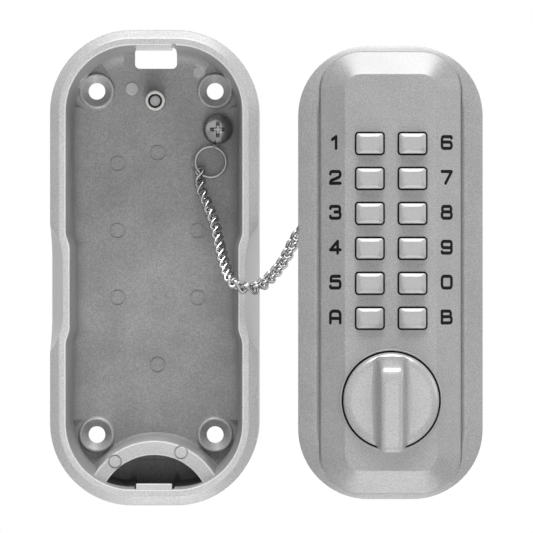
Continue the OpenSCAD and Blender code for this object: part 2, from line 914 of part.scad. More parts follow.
// Prism along Z with its two front edges chamfered, from level l0 to the cap's front
module chamfered_prism(w, length, l0) {
    linear_extrude(length, center = true) polygon([
        [-w / 2, level(l0)],
        [w / 2, level(l0)],
        [w / 2, level(cap_top - cap_edge)],
        [w / 2 - cap_slope, level(cap_top)],
        [-w / 2 + cap_slope, level(cap_top)],
        [-w / 2, level(cap_top - cap_edge)]
    ]);
}

// Front of a button: round corners and four chamfers
module button_cap() {
    foot = button_flange - flange_t / 2;
    intersection() {
        along_y(level(cap_top), level(foot)) round_rect(button_w, button_h, cap_r);
        chamfered_prism(button_w, button_h + eps, foot);
        rotate([0, -90, 0]) chamfered_prism(button_h, button_w + eps, foot);
    }
}

module button(i) {
    color(STEEL) on_cover() translate(button_at(i)) difference() {
        union() {
            button_cap();
            along_y(level(button_flange), level(button_flange - flange_t))
                round_rect(
                    button_w + 2 * (button_gap + flange_lap), button_h + 2 * (button_gap + flange_lap), 1
                );
            rod(stem_d, level(cap_top - cap_edge / 2), level(tail_level));
        }
        rod(code_pin_d, level(tail_level + code_pin_l), level(tail_level - eps));
    }
}

module code_pin(i) {
    color(BRASS) on_cover() translate(button_at(i)) difference() {
        union() {
            rod(code_pin_d, level(tail_level + code_pin_l), level(tail_level));
            rod(stem_d - 0.4, level(tail_level), level(tail_level - 0.6));
        }
        translate([-stem_d, level(tail_level - 0.2), -0.3]) cube([2 * stem_d, 1, 0.6]);
    }
}

body_shell();
slot_liner();
key_peg();
key_peg_pin();
chain_screw();
chain_tag();
chain_ring();
chain_upper();
chain_run();
chain_end();
cover_shell();
mechanism_case();
rear_plate();
rear_screws();
cover_chain_screw();
button_springs();
latch_slide();
latch_spring();
knob();
spindle();
cam();
spindle_clip();
for (i = [0:len(BUTTONS) - 1]) button(i);
for (i = [0:len(BUTTONS) - 1]) code_pin(i);
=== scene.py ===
"""Dresses a wall key safe: cast body, cover with push-buttons and knob, key peg and chain.

The front faces -Y and +Z is up. Lengths are in millimetres until an object is made, and the floor and
the lamps are given in metres.
"""
import json
import math

import bmesh
import bpy
from mathutils import Matrix, Vector


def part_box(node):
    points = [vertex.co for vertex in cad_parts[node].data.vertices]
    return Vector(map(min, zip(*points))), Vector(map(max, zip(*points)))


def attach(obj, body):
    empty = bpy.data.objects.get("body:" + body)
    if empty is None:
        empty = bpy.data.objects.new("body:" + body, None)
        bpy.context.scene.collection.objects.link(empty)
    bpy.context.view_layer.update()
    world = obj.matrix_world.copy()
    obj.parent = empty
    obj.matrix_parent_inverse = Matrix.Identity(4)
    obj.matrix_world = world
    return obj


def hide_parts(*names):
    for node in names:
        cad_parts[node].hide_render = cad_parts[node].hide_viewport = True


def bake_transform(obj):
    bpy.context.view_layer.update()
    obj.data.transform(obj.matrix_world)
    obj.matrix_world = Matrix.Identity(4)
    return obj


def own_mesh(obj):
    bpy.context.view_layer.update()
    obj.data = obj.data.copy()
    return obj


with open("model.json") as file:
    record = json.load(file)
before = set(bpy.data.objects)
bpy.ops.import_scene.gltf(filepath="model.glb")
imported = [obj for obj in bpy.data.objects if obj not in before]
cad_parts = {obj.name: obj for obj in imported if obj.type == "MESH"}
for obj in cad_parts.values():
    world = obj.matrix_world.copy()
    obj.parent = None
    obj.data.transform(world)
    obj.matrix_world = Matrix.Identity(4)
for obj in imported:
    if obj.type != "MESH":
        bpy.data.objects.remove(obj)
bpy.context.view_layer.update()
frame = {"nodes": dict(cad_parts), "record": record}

MM = 0.001
RECORD = frame["record"]
OVER = 1.0  # how far a cut or a root runs past the face it starts from


def node_box(node):
    """Lowest and highest corner of a CAD node, in millimetres."""
    low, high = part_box(node)
    return Vector(low) / MM, Vector(high) / MM


def node_middle(node):
    low, high = node_box(node)
    return (low + high) / 2


# Sizes of the body
BODY_LOW, BODY_HIGH = node_box("body_shell")
BODY_W = BODY_HIGH.x - BODY_LOW.x
BODY_H = BODY_HIGH.z - BODY_LOW.z
BODY_R = 25.3
RIM_Y = BODY_LOW.y
FLOOR_Y = -3.0
DRAFT = 0.4
CHAMFER_IN = 2.8
CHAMFER_Y = RIM_Y + 2.6
RIM_IN = DRAFT + CHAMFER_IN
OPEN_IN = RIM_IN + 2.1
OPEN_R = BODY_R - OPEN_IN
OPEN_TOP = BODY_H / 2 - OPEN_IN
CORNER_X = BODY_W / 2 - BODY_R
CORNER_Z = BODY_H / 2 - BODY_R
CAVITY_DRAFT = 1.6
WALL_DEPTH = FLOOR_Y - RIM_Y
FILLET = 3.4
SCALLOP_Z = -6.3
SCALLOP_T = 1.2
SCALLOP_FLAT = 8.0
SCALLOP_REACH = 20.6
SCALLOP_NARROW = 14.5
SCALLOP_RAMP = 5.0
SIDE_REACH = 46.0
SIDE_STEP = 0.5
SIDE_Z = [i * SIDE_STEP - SIDE_REACH for i in range(int(2 * SIDE_REACH / SIDE_STEP) + 1)]

# Roundings of the body's edges, as (inset, drop) pairs: a drop runs to the front from the back's edge,
# and to the back from the others
BACK_EDGE = ((0.7, 0.0), (0.2, 0.15), (0.0, 0.6))
CHAMFER_EDGE = ((0.0, 0.35), (0.05, 0.1), (0.22, -0.12))
RIM_EDGE = ((-0.18, 0.18), (0.0, 0.05), (0.25, 0.0))
MOUTH_EDGE = ((-0.4, 0.0), (-0.16, 0.08), (0.0, 0.3))

# Stretches of the floor's edge with no fillet: angles in the corners, in degrees, and a place by the slot
BREAK_DEPTH = 8.0
TOP_BREAK = (9, 56)
LOW_BREAK = (1, 84)
SLOT_BREAK_LEFT = 3.4
SLOT_BREAK_RIGHT = 0.5
SLOT_BREAK_LOW = 56.0
SLOT_BREAK_HIGH = 75.0

# Wall holes and their bosses
HOLE_PATTERN = next(mount for mount in RECORD["mounts"] if mount["name"] == "wall_holes")
HOLE_X = HOLE_PATTERN["dims"]["spacing_x_mm"] / 2
HOLE_UP = HOLE_PATTERN["dims"]["spacing_y_mm"] / 2
HOLE_Z = HOLE_PATTERN["pos_m"][2] / MM
HOLES = [(sx * HOLE_X, HOLE_Z + sz * HOLE_UP) for sx in (-1, 1) for sz in (-1, 1)]
HOLE_R = 2.6
SINK_R = 4.7
BOSS_R = 5.3
BOSS_H = 1.4

# Dam round the latch's room
ARCH_Z = -(BODY_H / 2 + 1.5)
ARCH_R = 17.0
ARCH_T = 5.5
ARCH_TAPER = 1.0
ARCH_FROM = 22
ARCH_Y = RIM_Y + 5.8

# Catch lips, the slot behind the top one and the liner behind the low one
LIP_HALF = 5.5
LIP_BACK = RIM_Y + 2.5
TOP_LIP = 1.4
LOW_LIP = 1.8
LIP_ROOT = 1.2
CATCH_GAP = 0.5
CATCH_Y = -24.0
CATCH_BELOW = 0.7
CATCH_ABOVE = 2.3
SLOT_HALF = 6.5
SLOT_H = 6.5
SLOT_R = 1.5
LINER_LOW, LINER_HIGH = node_box("slot_liner")
LINER_GAP = 0.1

# Key peg and its core
PEG = node_middle("key_peg")
PEG_LONG = 13.0
PEG_R = 3.1
PEG_BORE = 2.1
PEG_TAIL_R = 2.5
PEG_TAIL = 2.4
PEG_FLOOR = 1.0
CORE_R = 1.7
CORE_FOOT_R = 2.08
CORE_FOOT = 1.0
CORE_DROP = 0.6

# Chain screw, its boss, its driver recess and the jump ring
SCREW = node_middle("chain_screw")
SCREW_R = 4.6
SCREW_SEAT = FLOOR_Y - 1.4
SCREW_EDGE = 0.5
SCREW_DOME = 1.9
SCREW_SHANK_R = 1.5
SCREW_SHANK = 1.9
SCREW_BOSS_R = 3.5
SCREW_BOSS_H = 0.8
DRIVER_REACH = 2.7
DRIVER_HALF = 0.6
DRIVER_DEPTH = 1.8
RING_AT = node_middle("chain_ring")
RING_R = 4.7
RING_WIRE = 0.9

# Marks of ejector pins: low discs and fine rings on the floor, and fine rings on the dam
DISC_R = 2.0
PIN_DISCS = [(-7.4, 55.1), (13.4, 60.2)]
MARK_R = 2.25
MARK_MIDDLE = 0.5
MARK_SIDE = 12.35
PIN_MARKS = [(MARK_MIDDLE + sx * MARK_SIDE, z) for sx in (-1, 1) for z in (32.2, 11.5, -9.2)]
PIN_MARKS += [(MARK_MIDDLE, 35.5), (MARK_MIDDLE, -29.9)]
DAM_MARK_R = 1.9
DAM_MARKS = [(-12.0, -59.0), (8.1, -56.2)]

# Place and sizes of the cover
COVER_LOW, COVER_HIGH = node_box("cover_shell")
COVER_AT = node_middle("cover_shell")
COVER_AT.y = COVER_HIGH.y
COVER_W = COVER_HIGH.x - COVER_LOW.x
COVER_H = COVER_HIGH.z - COVER_LOW.z
COVER_R = 20.9
EDGE_T = 1.0
FLANGE_IN = 7.3
FLANGE_RISE = 4.0
FLANGE_CROWN = 0.25
FLANGE_DIP = 1.1
FLANGE_DIP_FROM = 0.66
FLANGE_DIP_SPAN = 0.3
GROOVE = 0.45
GROOVE_LOW = 2.2
GROOVE_HIGH = 6.0
PLATEAU_W = 41.9
PLATEAU_H = COVER_H - 3.2
PLATEAU_R = 12.0
PLATEAU_EDGE = 5.0
PLATEAU_TOP = 10.0
BEVEL_IN = 7.2
INNER_TOP = 7.5
GUIDE_T = 2.0
POCKET_W = 26.0
CASE_HALF = node_box("mechanism_case")[1].x - COVER_AT.x
CASE_GAP = 0.2
CASE_BOTTOM = -51.2
CASE_TOP = 56.2

# Buttons, in two columns
BUTTON_W = 8.0
BUTTON_H = 6.0
BUTTON_GAP = 0.4
BUTTON_PROUD = 2.0
BUTTON_CORNER = 0.7
BUTTON_TOP_CORNER = 1.35
BUTTON_CORNER_GROWTH = 0.9
BUTTON_FOOT = 0.6
BUTTON_FOOT_T = 1.0
STEM_R = 2.0
STEM_END = 5.0
HOLE_CORNER = 1.0
BUTTON_DX = 12.7
BUTTON_DZ = 10.4
BUTTON_Z = 38.4
COLUMNS = {-1: "12345a", 1: "67890b"}
KEY_AT = {
    key: (side * BUTTON_DX / 2, BUTTON_Z - row * BUTTON_DZ)
    for side, keys in COLUMNS.items()
    for row, key in enumerate(keys)
}

# Knob, the rim round it and the hole for its spindle
KNOB_Z = -38.0
KNOB_R = 14.22
KNOB_BASE = 9.95
KNOB_SIDE = 11.5
KNOB_EDGE = 2.8
KNOB_RISE = 1.9
KNOB_DISH = 0.5
KNOB_DISH_R = 10.5
GRIP_CORNER = 1.6
SEAT_R = 14.75
SEAT_TOP = 10.45
RECESS_FLOOR = 9.0
SEAT_ROOT = 8.5
SPINDLE_R = 3.56
HOLE_LOW = 6.0

# Legends
LEGEND_X = 16.6
LEGEND_UP = 0.35
LEGEND_HALF = 0.52
LEGEND_DEEP = 0.08
LEGEND_SINK = 0.02


# Mesh helpers: a shape is a list of points and a list of faces

def circle(radius, steps, x=0.0, z=0.0):
    turns = [2 * math.pi * i / steps for i in range(steps)]
    return [(x + radius * math.cos(a), z + radius * math.sin(a)) for a in turns]


def rounded(w, h, r, steps, side=()):
    """Outline of a rectangle with round corners, with extra points along its two long sides."""
    cx, cz = w / 2 - r, h / 2 - r
    points = [(w / 2, z) for z in side]
    for quarter, (sx, sz) in enumerate(((1, 1), (-1, 1), (-1, -1), (1, -1))):
        for i in range(steps + 1):
            a = math.pi / 2 * (quarter + i / steps)
            points.append((sx * cx + r * math.cos(a), sz * cz + r * math.sin(a)))
        if quarter == 1:
            points += [(-w / 2, z) for z in reversed(side)]
    return points


def at_depth(outline, y, x=0.0, z=0.0):
    return [(px + x, y, pz + z) for px, pz in outline]


def loft(rings, looped=False):
    """Skin over rings of equal length, closed at both ends or looped."""
    n = len(rings[0])
    points = [p for ring in rings for p in ring]
    faces = []
    last = len(rings) if looped else len(rings) - 1
    for k in range(last):
        a, b = k * n, (k + 1) % len(rings) * n
        faces += [(a + i, a + (i + 1) % n, b + (i + 1) % n, b + i) for i in range(n)]
    if not looped:
        faces += [tuple(range(n)), tuple(range(len(points) - n, len(points)))]
    return points, faces


def turned(profile, x, z, steps=64, looped=False):
    """Solid turned about the Y direction, from (radius, y) pairs."""
    rings = [at_depth(circle(radius, steps, x, z), y) for radius, y in profile]
    return loft(rings, looped=looped)


def prism(outline, y0, y1, z=0.0):
    """Straight solid between two depths."""
    return loft([at_depth(outline, y, z=z) for y in (y0, y1)])


def block(x0, x1, y0, y1, z0, z1):
    """Plain box, for cutting."""
    return prism([(x0, z0), (x1, z0), (x1, z1), (x0, z1)], y0, y1)


def joined(shapes):
    """Several shapes as one."""
    points, faces = [], []
    for p, f in shapes:
        faces += [tuple(i + len(points) for i in face) for face in f]
        points += p
    return points, faces


def add_object(name, data):
    """New object in the scene."""
    obj = bpy.data.objects.new(name, data)
    bpy.context.scene.collection.objects.link(obj)
    return obj


def make(name, shape, finish):
    """Object of a shape, in metres, with outward faces."""
    mesh = bpy.data.meshes.new(name)
    mesh.from_pydata([(x * MM, y * MM, z * MM) for x, y, z in shape[0]], [], shape[1])
    work = bmesh.new()
    work.from_mesh(mesh)
    bmesh.ops.remove_doubles(work, verts=work.verts, dist=1e-7)
    bmesh.ops.recalc_face_normals(work, faces=work.faces)
    work.to_mesh(mesh)
    work.free()
    mesh.materials.append(finish)
    return add_object(name, mesh)


def combine(obj, operation, *shapes):
    """Adds shapes to an object, cuts them away or keeps what both share, one after another."""
    for shape in shapes:
        tool = make("tool", shape, obj.data.materials[0])
        modifier = obj.modifiers.new("combine", "BOOLEAN")
        modifier.operation = operation
        modifier.solver = "MANIFOLD"
        modifier.object = tool
        solid = obj.evaluated_get(bpy.context.evaluated_depsgraph_get())
        mesh = bpy.data.meshes.new_from_object(solid)
        obj.modifiers.clear()
        old, obj.data = obj.data, mesh
        bpy.data.meshes.remove(old)
        bpy.data.meshes.remove(tool.data)


def taken(obj):
    """Shape of an object, which is removed."""
    points = [tuple(v.co / MM) for v in obj.data.vertices]
    faces = [tuple(p.vertices) for p in obj.data.polygons]
    bpy.data.meshes.remove(obj.data)
    return points, faces


def smooth(obj, angle):
    """Smooth shading with crisp edges over an angle."""
    work = bmesh.new()
    work.from_mesh(obj.data)
    bmesh.ops.dissolve_degenerate(work, edges=work.edges, dist=1e-7)
    bmesh.ops.triangulate(work, faces=[f for f in work.faces if len(f.verts) > 4])
    work.to_mesh(obj.data)
    work.free()
    obj.data.polygons.foreach_set("use_smooth", [True] * len(obj.data.polygons))
    obj.data.set_sharp_from_angle(angle=math.radians(angle))
    weigh = obj.modifiers.new("even shading", "WEIGHTED_NORMAL")
    weigh.keep_sharp = True


def dress(obj, body, node, angle=30.0):
    """Shades a piece that rides on a body and stands for a node."""
    smooth(obj, angle)
    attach(obj, body)
    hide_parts(node)


def refinish(obj, finish, chosen):
    """Another finish for faces chosen by their middle, in millimetres, and their normal."""
    obj.data.materials.append(finish)
    for face in obj.data.polygons:
        if chosen(*(c / MM for c in face.center), face.normal):
            face.material_index = len(obj.data.materials) - 1


def shares(steps):
    """Even shares of a stretch, from its first step to its end."""
    return [i / steps for i in range(1, steps + 1)]


def ease(t):
    """Smooth step from 0 to 1."""
    t = min(1.0, max(0.0, t))
    return t * t * (3 - 2 * t)


# Materials

NOISE_LOW, NOISE_HIGH = 0.3, 0.7  # most of a noise lies between these


def material(name):
    """New material, its node tree and a place in the object's own space."""
    mat = bpy.data.materials.new(name)
    mat.use_nodes = True
    tree = mat.node_tree
    return mat, tree, tree.nodes.new("ShaderNodeTexCoord").outputs["Object"]


def feed(tree, node, inputs):
    """Sets inputs of a node, each to a value or to what another node gives."""
    for name, value in inputs.items():
        if isinstance(value, bpy.types.NodeSocket):
            tree.links.new(value, node.inputs[name])
        else:
            node.inputs[name].default_value = value


def shade(tree, inputs):
    feed(tree, tree.nodes["Principled BSDF"], inputs)


def add_node(tree, kind, inputs):
    node = tree.nodes.new("ShaderNode" + kind)
    feed(tree, node, inputs)
    return node


def noise(tree, place, scale, detail=3.0):
    """Noise of a scale in cycles a metre."""
    node = add_node(tree, "TexNoise", {"Vector": place, "Scale": scale, "Detail": detail})
    return node.outputs["Fac"]


def ramp(tree, factor, dark, bright, low=NOISE_LOW, high=NOISE_HIGH):
    """Colour that goes from dark to bright as a factor goes from low to high."""
    node = add_node(tree, "ValToRGB", {"Fac": factor})
    for element, place, colour in zip(node.color_ramp.elements, (low, high), (dark, bright)):
        element.position = place
        element.color = (*colour, 1.0)
    return node.outputs["Color"]


def span(tree, factor, middle, spread):
    """Noise spread evenly about a middle value."""
    node = add_node(tree, "MapRange", {
        "Value": factor,
        "From Min": NOISE_LOW,
        "From Max": NOISE_HIGH,
        "To Min": middle - spread,
        "To Max": middle + spread,
    })
    return node.outputs["Result"]


def overlay(tree, below, above):
    """One colour laid over another, lighter where the upper one is over a half and darker elsewhere."""
    node = tree.nodes.new("ShaderNodeMix")
    node.data_type = "RGBA"
    node.blend_type = "OVERLAY"
    feed(tree, node, {"Factor": 1.0, 6: below, 7: above})
    return node.outputs[2]


def bump(tree, height, strength, distance):
    node = add_node(tree, "Bump", {"Height": height, "Strength": strength, "Distance": distance})
    return node.outputs["Normal"]


def grey(level, warm=0.0):
    return level + warm, level, level - warm


BLOTCH_SCALE = 90.0
BLOTCH_LOW, BLOTCH_HIGH = 0.32, 0.68
ROUGH_SPREAD = 0.07
BUMP_DEPTH = 0.00006


def metal(name, level, roughness, metallic, blotch=0.012, speckle=0.1, grain=2600.0, height=0.1, warm=0.0):
    """Cast or plated metal: broad blotches, fine speckle and a fine bump."""
    mat, tree, place = material(name)
    broad = noise(tree, place, BLOTCH_SCALE, detail=4.0)
    fine = noise(tree, place, grain, detail=2.0)
    dark, bright = grey(level - blotch, warm), grey(level + blotch, warm)
    base = ramp(tree, broad, dark, bright, BLOTCH_LOW, BLOTCH_HIGH)
    specks = ramp(tree, fine, grey(0.5 - speckle), grey(0.5 + speckle))
    shade(tree, {
        "Base Color": overlay(tree, base, specks),
        "Metallic": metallic,
        "Roughness": span(tree, fine, roughness, ROUGH_SPREAD),
        "Normal": bump(tree, fine, height, BUMP_DEPTH),
    })
    return mat


STEEL = {"blotch": 0.04, "speckle": 0.03, "grain": 2400.0}
SILVER = metal("cast_silver", level=0.43, roughness=0.4, metallic=0.2, height=0.12)
# Darker copy of the silver for the cavity: partly its matte cast look, partly painted shade
INSIDE_CAST_AND_SHADE = metal("cast_inside_and_painted_shade", level=0.295, roughness=0.55, metallic=0.05,
               blotch=0.03, speckle=0.12, grain=2800.0, height=0.25)
COVER = metal("cover_silver", level=0.295, roughness=0.42, metallic=0.2, height=0.12)
BUTTON = metal("satin_button", level=0.36, roughness=0.38, metallic=0.25, blotch=0.01, speckle=0.06)
KNOB = metal("knob_silver", level=0.38, roughness=0.3, metallic=0.35, speckle=0.03, height=0.05)
# Bright copy of the silver: painted highlight on narrow roundings
PAINTED_HIGHLIGHT = metal("painted_highlight_edge", level=0.68, roughness=0.34, metallic=0.6, blotch=0.03)
CHROME = metal("bright_steel", level=0.5, roughness=0.16, metallic=1.0, height=0.05, **STEEL)
POLISHED = metal("polished_screw", level=0.34, roughness=0.2, metallic=1.0, height=0.08, **STEEL)
ZINC = metal("zinc_plate", level=0.5, roughness=0.36, metallic=0.9,
             blotch=0.05, speckle=0.04, grain=1800.0, warm=0.008)
SPRING = metal("spring_steel", level=0.36, roughness=0.32, metallic=1.0, height=0.05, **STEEL)


def brass_finish():
    """Slightly tarnished brass."""
    grain, roughness, rough_spread = 400.0, 0.325, 0.075
    dark, bright = (0.5, 0.33, 0.1), (0.66, 0.46, 0.17)
    mat, tree, place = material("brass")
    broad = noise(tree, place, grain)
    shade(tree, {
        "Base Color": ramp(tree, broad, dark, bright),
        "Metallic": 1.0,
        "Roughness": span(tree, broad, roughness, rough_spread),
    })
    return mat


def dark_finish(name, level, roughness, gloss):
    """Dark finish with a fine grain, for plastic, black paint and painted shade."""
    grain, spread, rough_spread = 2600.0, 0.3, 0.08
    height, depth = 0.15, 0.00005
    mat, tree, place = material(name)
    fine = noise(tree, place, grain)
    shade(tree, {
        "Base Color": ramp(tree, fine, grey(level * (1 - spread)), grey(level * (1 + spread))),
        "Roughness": span(tree, fine, roughness, rough_spread),
        "Specular IOR Level": gloss,
        "Normal": bump(tree, fine, height, depth),
    })
    return mat


BRASS = brass_finish()
PLASTIC = dark_finish("dark_plastic", level=0.3, roughness=0.55, gloss=0.3)
INK = dark_finish("legend_black", level=0.006, roughness=0.6, gloss=0.1)
# Near-black painted shade in the gaps round the buttons and the knob
PAINTED_GAP_SHADE = dark_finish("painted_gap_shade", level=0.01, roughness=0.7, gloss=0.1)


# Body

def body_outline(inset, push):
    """Outline of the body at an inset, with both long sides pushed in.

    push gives the depth at a distance from the scallop's middle.
    """
    outline = rounded(BODY_W - 2 * inset, BODY_H - 2 * inset, BODY_R - inset, 18, SIDE_Z)
    return [(x - math.copysign(push(abs(z - SCALLOP_Z)), x), z) for x, z in outline]


def inner_push(away):
    """How far the cavity's side bulges in beside a scallop."""
    return SCALLOP_T * ease((SCALLOP_NARROW - away) / SCALLOP_RAMP + 0.5)


def wall_inset(y):
    """Inset of the cavity's wall at a depth."""
    return OPEN_IN + CAVITY_DRAFT * (y - RIM_Y) / WALL_DEPTH


def body_rings():
    """Rings of the casting: up the outer side, over the chamfer and the rim, and down to the floor."""
    rings = []

    def outer(inset, y):
        depth = (RIM_IN + SCALLOP_T) * max(0.0, (FLOOR_Y - y) / WALL_DEPTH) - min(inset, RIM_IN)

        def push(away):
            bend = max(0.0, (away - SCALLOP_FLAT) / (SCALLOP_REACH - SCALLOP_FLAT))
            return max(0.0, depth - (RIM_IN + SCALLOP_T) * bend ** 2)

        rings.append(at_depth(body_outline(inset, push), y))

    def inner(inset, y):
        rings.append(at_depth(body_outline(inset, inner_push), y))

    def between(start, end, steps):
        """Points inside a straight stretch, as (inset, y) pairs."""
        return [[a + (b - a) * t for a, b in zip(start, end)] for t in shares(steps)[:-1]]

    chamfer = [(DRAFT + inset, CHAMFER_Y + drop) for inset, drop in CHAMFER_EDGE]
    rim = [(RIM_IN + inset, RIM_Y + drop) for inset, drop in RIM_EDGE]
    side = [(inset, -drop) for inset, drop in BACK_EDGE] + [(0.0, FLOOR_Y)]
    side += between((0.0, FLOOR_Y), (DRAFT, CHAMFER_Y), 11)
    for inset, y in side + chamfer + between(chamfer[-1], rim[0], 6) + rim:
        outer(inset, y)

    for inset, drop in MOUTH_EDGE:
        inner(OPEN_IN + inset, RIM_Y + drop)
    mouth = RIM_Y + MOUTH_EDGE[-1][1]
    foot = FLOOR_Y - FILLET
    for t in shares(6):
        y = mouth + (foot - mouth) * t
        inner(wall_inset(y), y)
    middle = wall_inset(foot) + FILLET
    for t in shares(8):
        a = math.pi / 2 * t
        inner(middle - FILLET * math.cos(a), foot + FILLET * math.sin(a))
    return rings


def sharp_cavity():
    """Room of the cavity near the floor, with no fillet.

    It clears the wall by a hair at its upper end, and cuts a hair into the wall and the floor below.
    """
    hair = 0.03
    rings = [
        at_depth(body_outline(wall_inset(y) + grow, inner_push), y)
        for y, grow in ((FLOOR_Y - BREAK_DEPTH, hair), (FLOOR_Y + hair, -hair))
    ]
    return loft(rings)


def corner_wedge(sx, sz, start, end):
    """Sector of a corner, between two angles above the level line."""
    reach, steps = 30.0, 4
    root_share, root_drop, root_turn = 0.6, 4.0, 0.4
    root_z = CORNER_Z - root_drop * math.sin(math.radians(start) + root_turn)
    outline = [(CORNER_X * root_share, root_z)]
    for i in range(steps + 1):
        a = math.radians(start + (end - start) * i / steps)
        outline.append((CORNER_X + reach * math.cos(a), CORNER_Z + reach * math.sin(a)))
    outline = [(sx * x, sz * z) for x, z in outline]
    return prism(outline, FLOOR_Y - BREAK_DEPTH - OVER, FLOOR_Y + OVER)


def fillet_breaks():
    """Stretches where the floor meets the wall with no fillet."""
    obj = make("breaks", sharp_cavity(), SILVER)
    wedges = [corner_wedge(sx, 1, *TOP_BREAK) for sx in (-1, 1)]
    wedges += [corner_wedge(sx, -1, *LOW_BREAK) for sx in (-1, 1)]
    wedges.append(block(
        -SLOT_HALF - SLOT_BREAK_LEFT, -SLOT_HALF + SLOT_BREAK_RIGHT,
        FLOOR_Y - BREAK_DEPTH - OVER, FLOOR_Y + OVER,
        SLOT_BREAK_LOW, SLOT_BREAK_HIGH,
    ))
    combine(obj, "INTERSECT", joined(wedges))
    return taken(obj)


def dam():
    """Arch-shaped wall round the latch's room."""
    outer = ARCH_R + ARCH_T - ARCH_TAPER
    section = [
        (ARCH_R, FLOOR_Y + OVER),
        (ARCH_R, ARCH_Y + 0.4),
        (ARCH_R + 0.12, ARCH_Y + 0.12),
        (ARCH_R + 0.4, ARCH_Y),
        (outer - 0.5, ARCH_Y),
        (outer - 0.15, ARCH_Y + 0.12),
        (outer, ARCH_Y + 0.45),
        (outer + 0.75, FLOOR_Y - 2.0),
        (outer + 1.2, FLOOR_Y - 0.6),
        (outer + 1.9, FLOOR_Y + 0.1),
        (outer + 1.9, FLOOR_Y + OVER),
    ]
    rings = []
    steps = 60
    for i in range(steps + 1):
        a = math.radians(ARCH_FROM + (180 - 2 * ARCH_FROM) * i / steps)
        rings.append([(r * math.cos(a), y, ARCH_Z + r * math.sin(a)) for r, y in section])
    return loft(rings)


def lip(z_edge, z_root):
    """Catch lip with rounded front edges, set back a little from the rim."""
    low, high = sorted((z_edge, z_root))
    front = RIM_Y + 0.06
    rings = []
    for inset, y in ((0.35, front), (0.1, front + 0.1), (0.0, front + 0.35), (0.0, LIP_BACK)):
        w, h = 2 * (LIP_HALF - inset), high - low - 2 * inset
        rings.append(at_depth(rounded(w, h, 0.3, 4), y, z=(low + high) / 2))
    return loft(rings)


def on_floor(x, z, radius, profile, steps=64):
    """Low round form on the floor, from pairs of what is added to its radius and the level."""
    return turned([(radius + out, FLOOR_Y - level) for out, level in profile], x, z, steps)


def boss(x, z):
    """Low round seat of a wall hole, with a small fillet at its foot."""
    foot = [(0.5, -OVER), (0.5, -0.02), (0.12, 0.25)]
    return on_floor(x, z, BOSS_R, foot + [(0.0, BOSS_H - 0.3), (-0.25, BOSS_H)])


def wall_hole(x, z):
    """Countersunk hole through the back."""
    top = FLOOR_Y - BOSS_H
    return turned([
        (HOLE_R + 0.3, OVER),
        (HOLE_R, -0.3),
        (HOLE_R, top + SINK_R - HOLE_R),
        (SINK_R, top),
        (SINK_R, top - OVER),
    ], x, z)


def screw_boss():
    """Low round seat of the chain screw."""
    profile = [(0.7, -OVER), (0.7, -0.05), (0.2, 0.3), (0.0, SCREW_BOSS_H)]
    return on_floor(SCREW.x, SCREW.z, SCREW_BOSS_R, profile)


def pin_mark(x, z, y, radius):
    """Fine ring left by an ejector pin, for cutting."""
    half, above, depth = 0.22, 0.4, 0.25
    inner, outer = radius - half, radius + half
    section = [(inner, y - above), (outer, y - above), (outer, y + depth), (inner, y + depth)]
    return turned(section, x, z, 40, looped=True)


def pin_disc(x, z):
    """Low disc left by an ejector pin."""
    return on_floor(x, z, DISC_R, [(0.0, -0.5), (0.0, 0.15), (-0.15, 0.25)], 40)


def nearest(x, z, places):
    """Distance to the nearest of some places, seen from the front."""
    return min(math.hypot(x - px, z - pz) for px, pz in places)


# How far a face with a painted highlight turns to the front, and how far round an edge or a mark its faces
# reach, for the painted highlight and the painted shade
FACING_LOW, FACING_HIGH = 0.3, 0.985
RIM_BAND = 0.25
DAM_BAND = 0.3
DAM_HIGHLIGHT = 0.35
BOSS_HIGHLIGHT = 0.3
BOSS_HIGHLIGHT_RISE = 0.6
HAIR = 0.02


def is_painted_highlight(x, y, z, normal):
    """True for the narrow roundings that get a painted highlight: rim, lips, dam and bosses."""
    if not FACING_LOW < -normal.y < FACING_HIGH:
        return False
    if RIM_Y + HAIR < y < RIM_Y + RIM_BAND:
        return normal.x * x + normal.z * z < 0
    if abs(y - ARCH_Y) < DAM_HIGHLIGHT:
        return True
    on_edge = BOSS_R - BOSS_HIGHLIGHT < nearest(x, z, HOLES) < BOSS_R + 0.05
    return on_edge and y < FLOOR_Y - BOSS_HIGHLIGHT_RISE


def is_cavity_shade(x, y, z, normal):
    """True for the faces of the cavity, by their place, that take the darker finish, which is partly
    painted shade; what is brighter there is left out, and the dam's mark rings get painted shade.
    """
    if y > ARCH_Y + HAIR and abs(nearest(x, z, DAM_MARKS) - DAM_MARK_R) < DAM_BAND:
        return True
    if y < RIM_Y + RIM_BAND or y > -0.2 or abs(y - ARCH_Y) < DAM_BAND:
        return False
    if y < FLOOR_Y - 0.05 and nearest(x, z, HOLES) < BOSS_R + 0.1:
        return False
    if y < FLOOR_Y - 0.1 and nearest(x, z, PIN_DISCS) < DISC_R + 0.1:
        return False
    dx = max(abs(x) - CORNER_X, 0.0)
    dz = max(abs(z) - CORNER_Z, 0.0)
    return math.hypot(dx, dz) < OPEN_R + HAIR


def catch_cuts():
    """Slot behind the top lip, gap at that lip's right end, and two rooms behind the low lip."""
    outline = rounded(2 * SLOT_HALF, SLOT_H, SLOT_R, 6)
    slot = prism(outline, LIP_BACK, OVER, z=OPEN_TOP + CATCH_GAP - SLOT_H / 2)
    gap = block(
        LIP_HALF + 0.05, SLOT_HALF,
        RIM_Y - 0.5, LIP_BACK + 0.5,
        OPEN_TOP - 2.0, OPEN_TOP + CATCH_GAP - 0.05,
    )
    liner_room = block(
        LINER_LOW.x - LINER_GAP, LINER_HIGH.x + LINER_GAP,
        LIP_BACK, LINER_HIGH.y + LINER_GAP,
        LINER_LOW.z - LINER_GAP, LINER_HIGH.z + LINER_GAP,
    )
    half = LIP_HALF + CATCH_GAP
    latch_room = block(-half, half, LIP_BACK, CATCH_Y, -OPEN_TOP - CATCH_BELOW, -OPEN_TOP + CATCH_ABOVE)
    return [slot, gap, liner_room, latch_room]


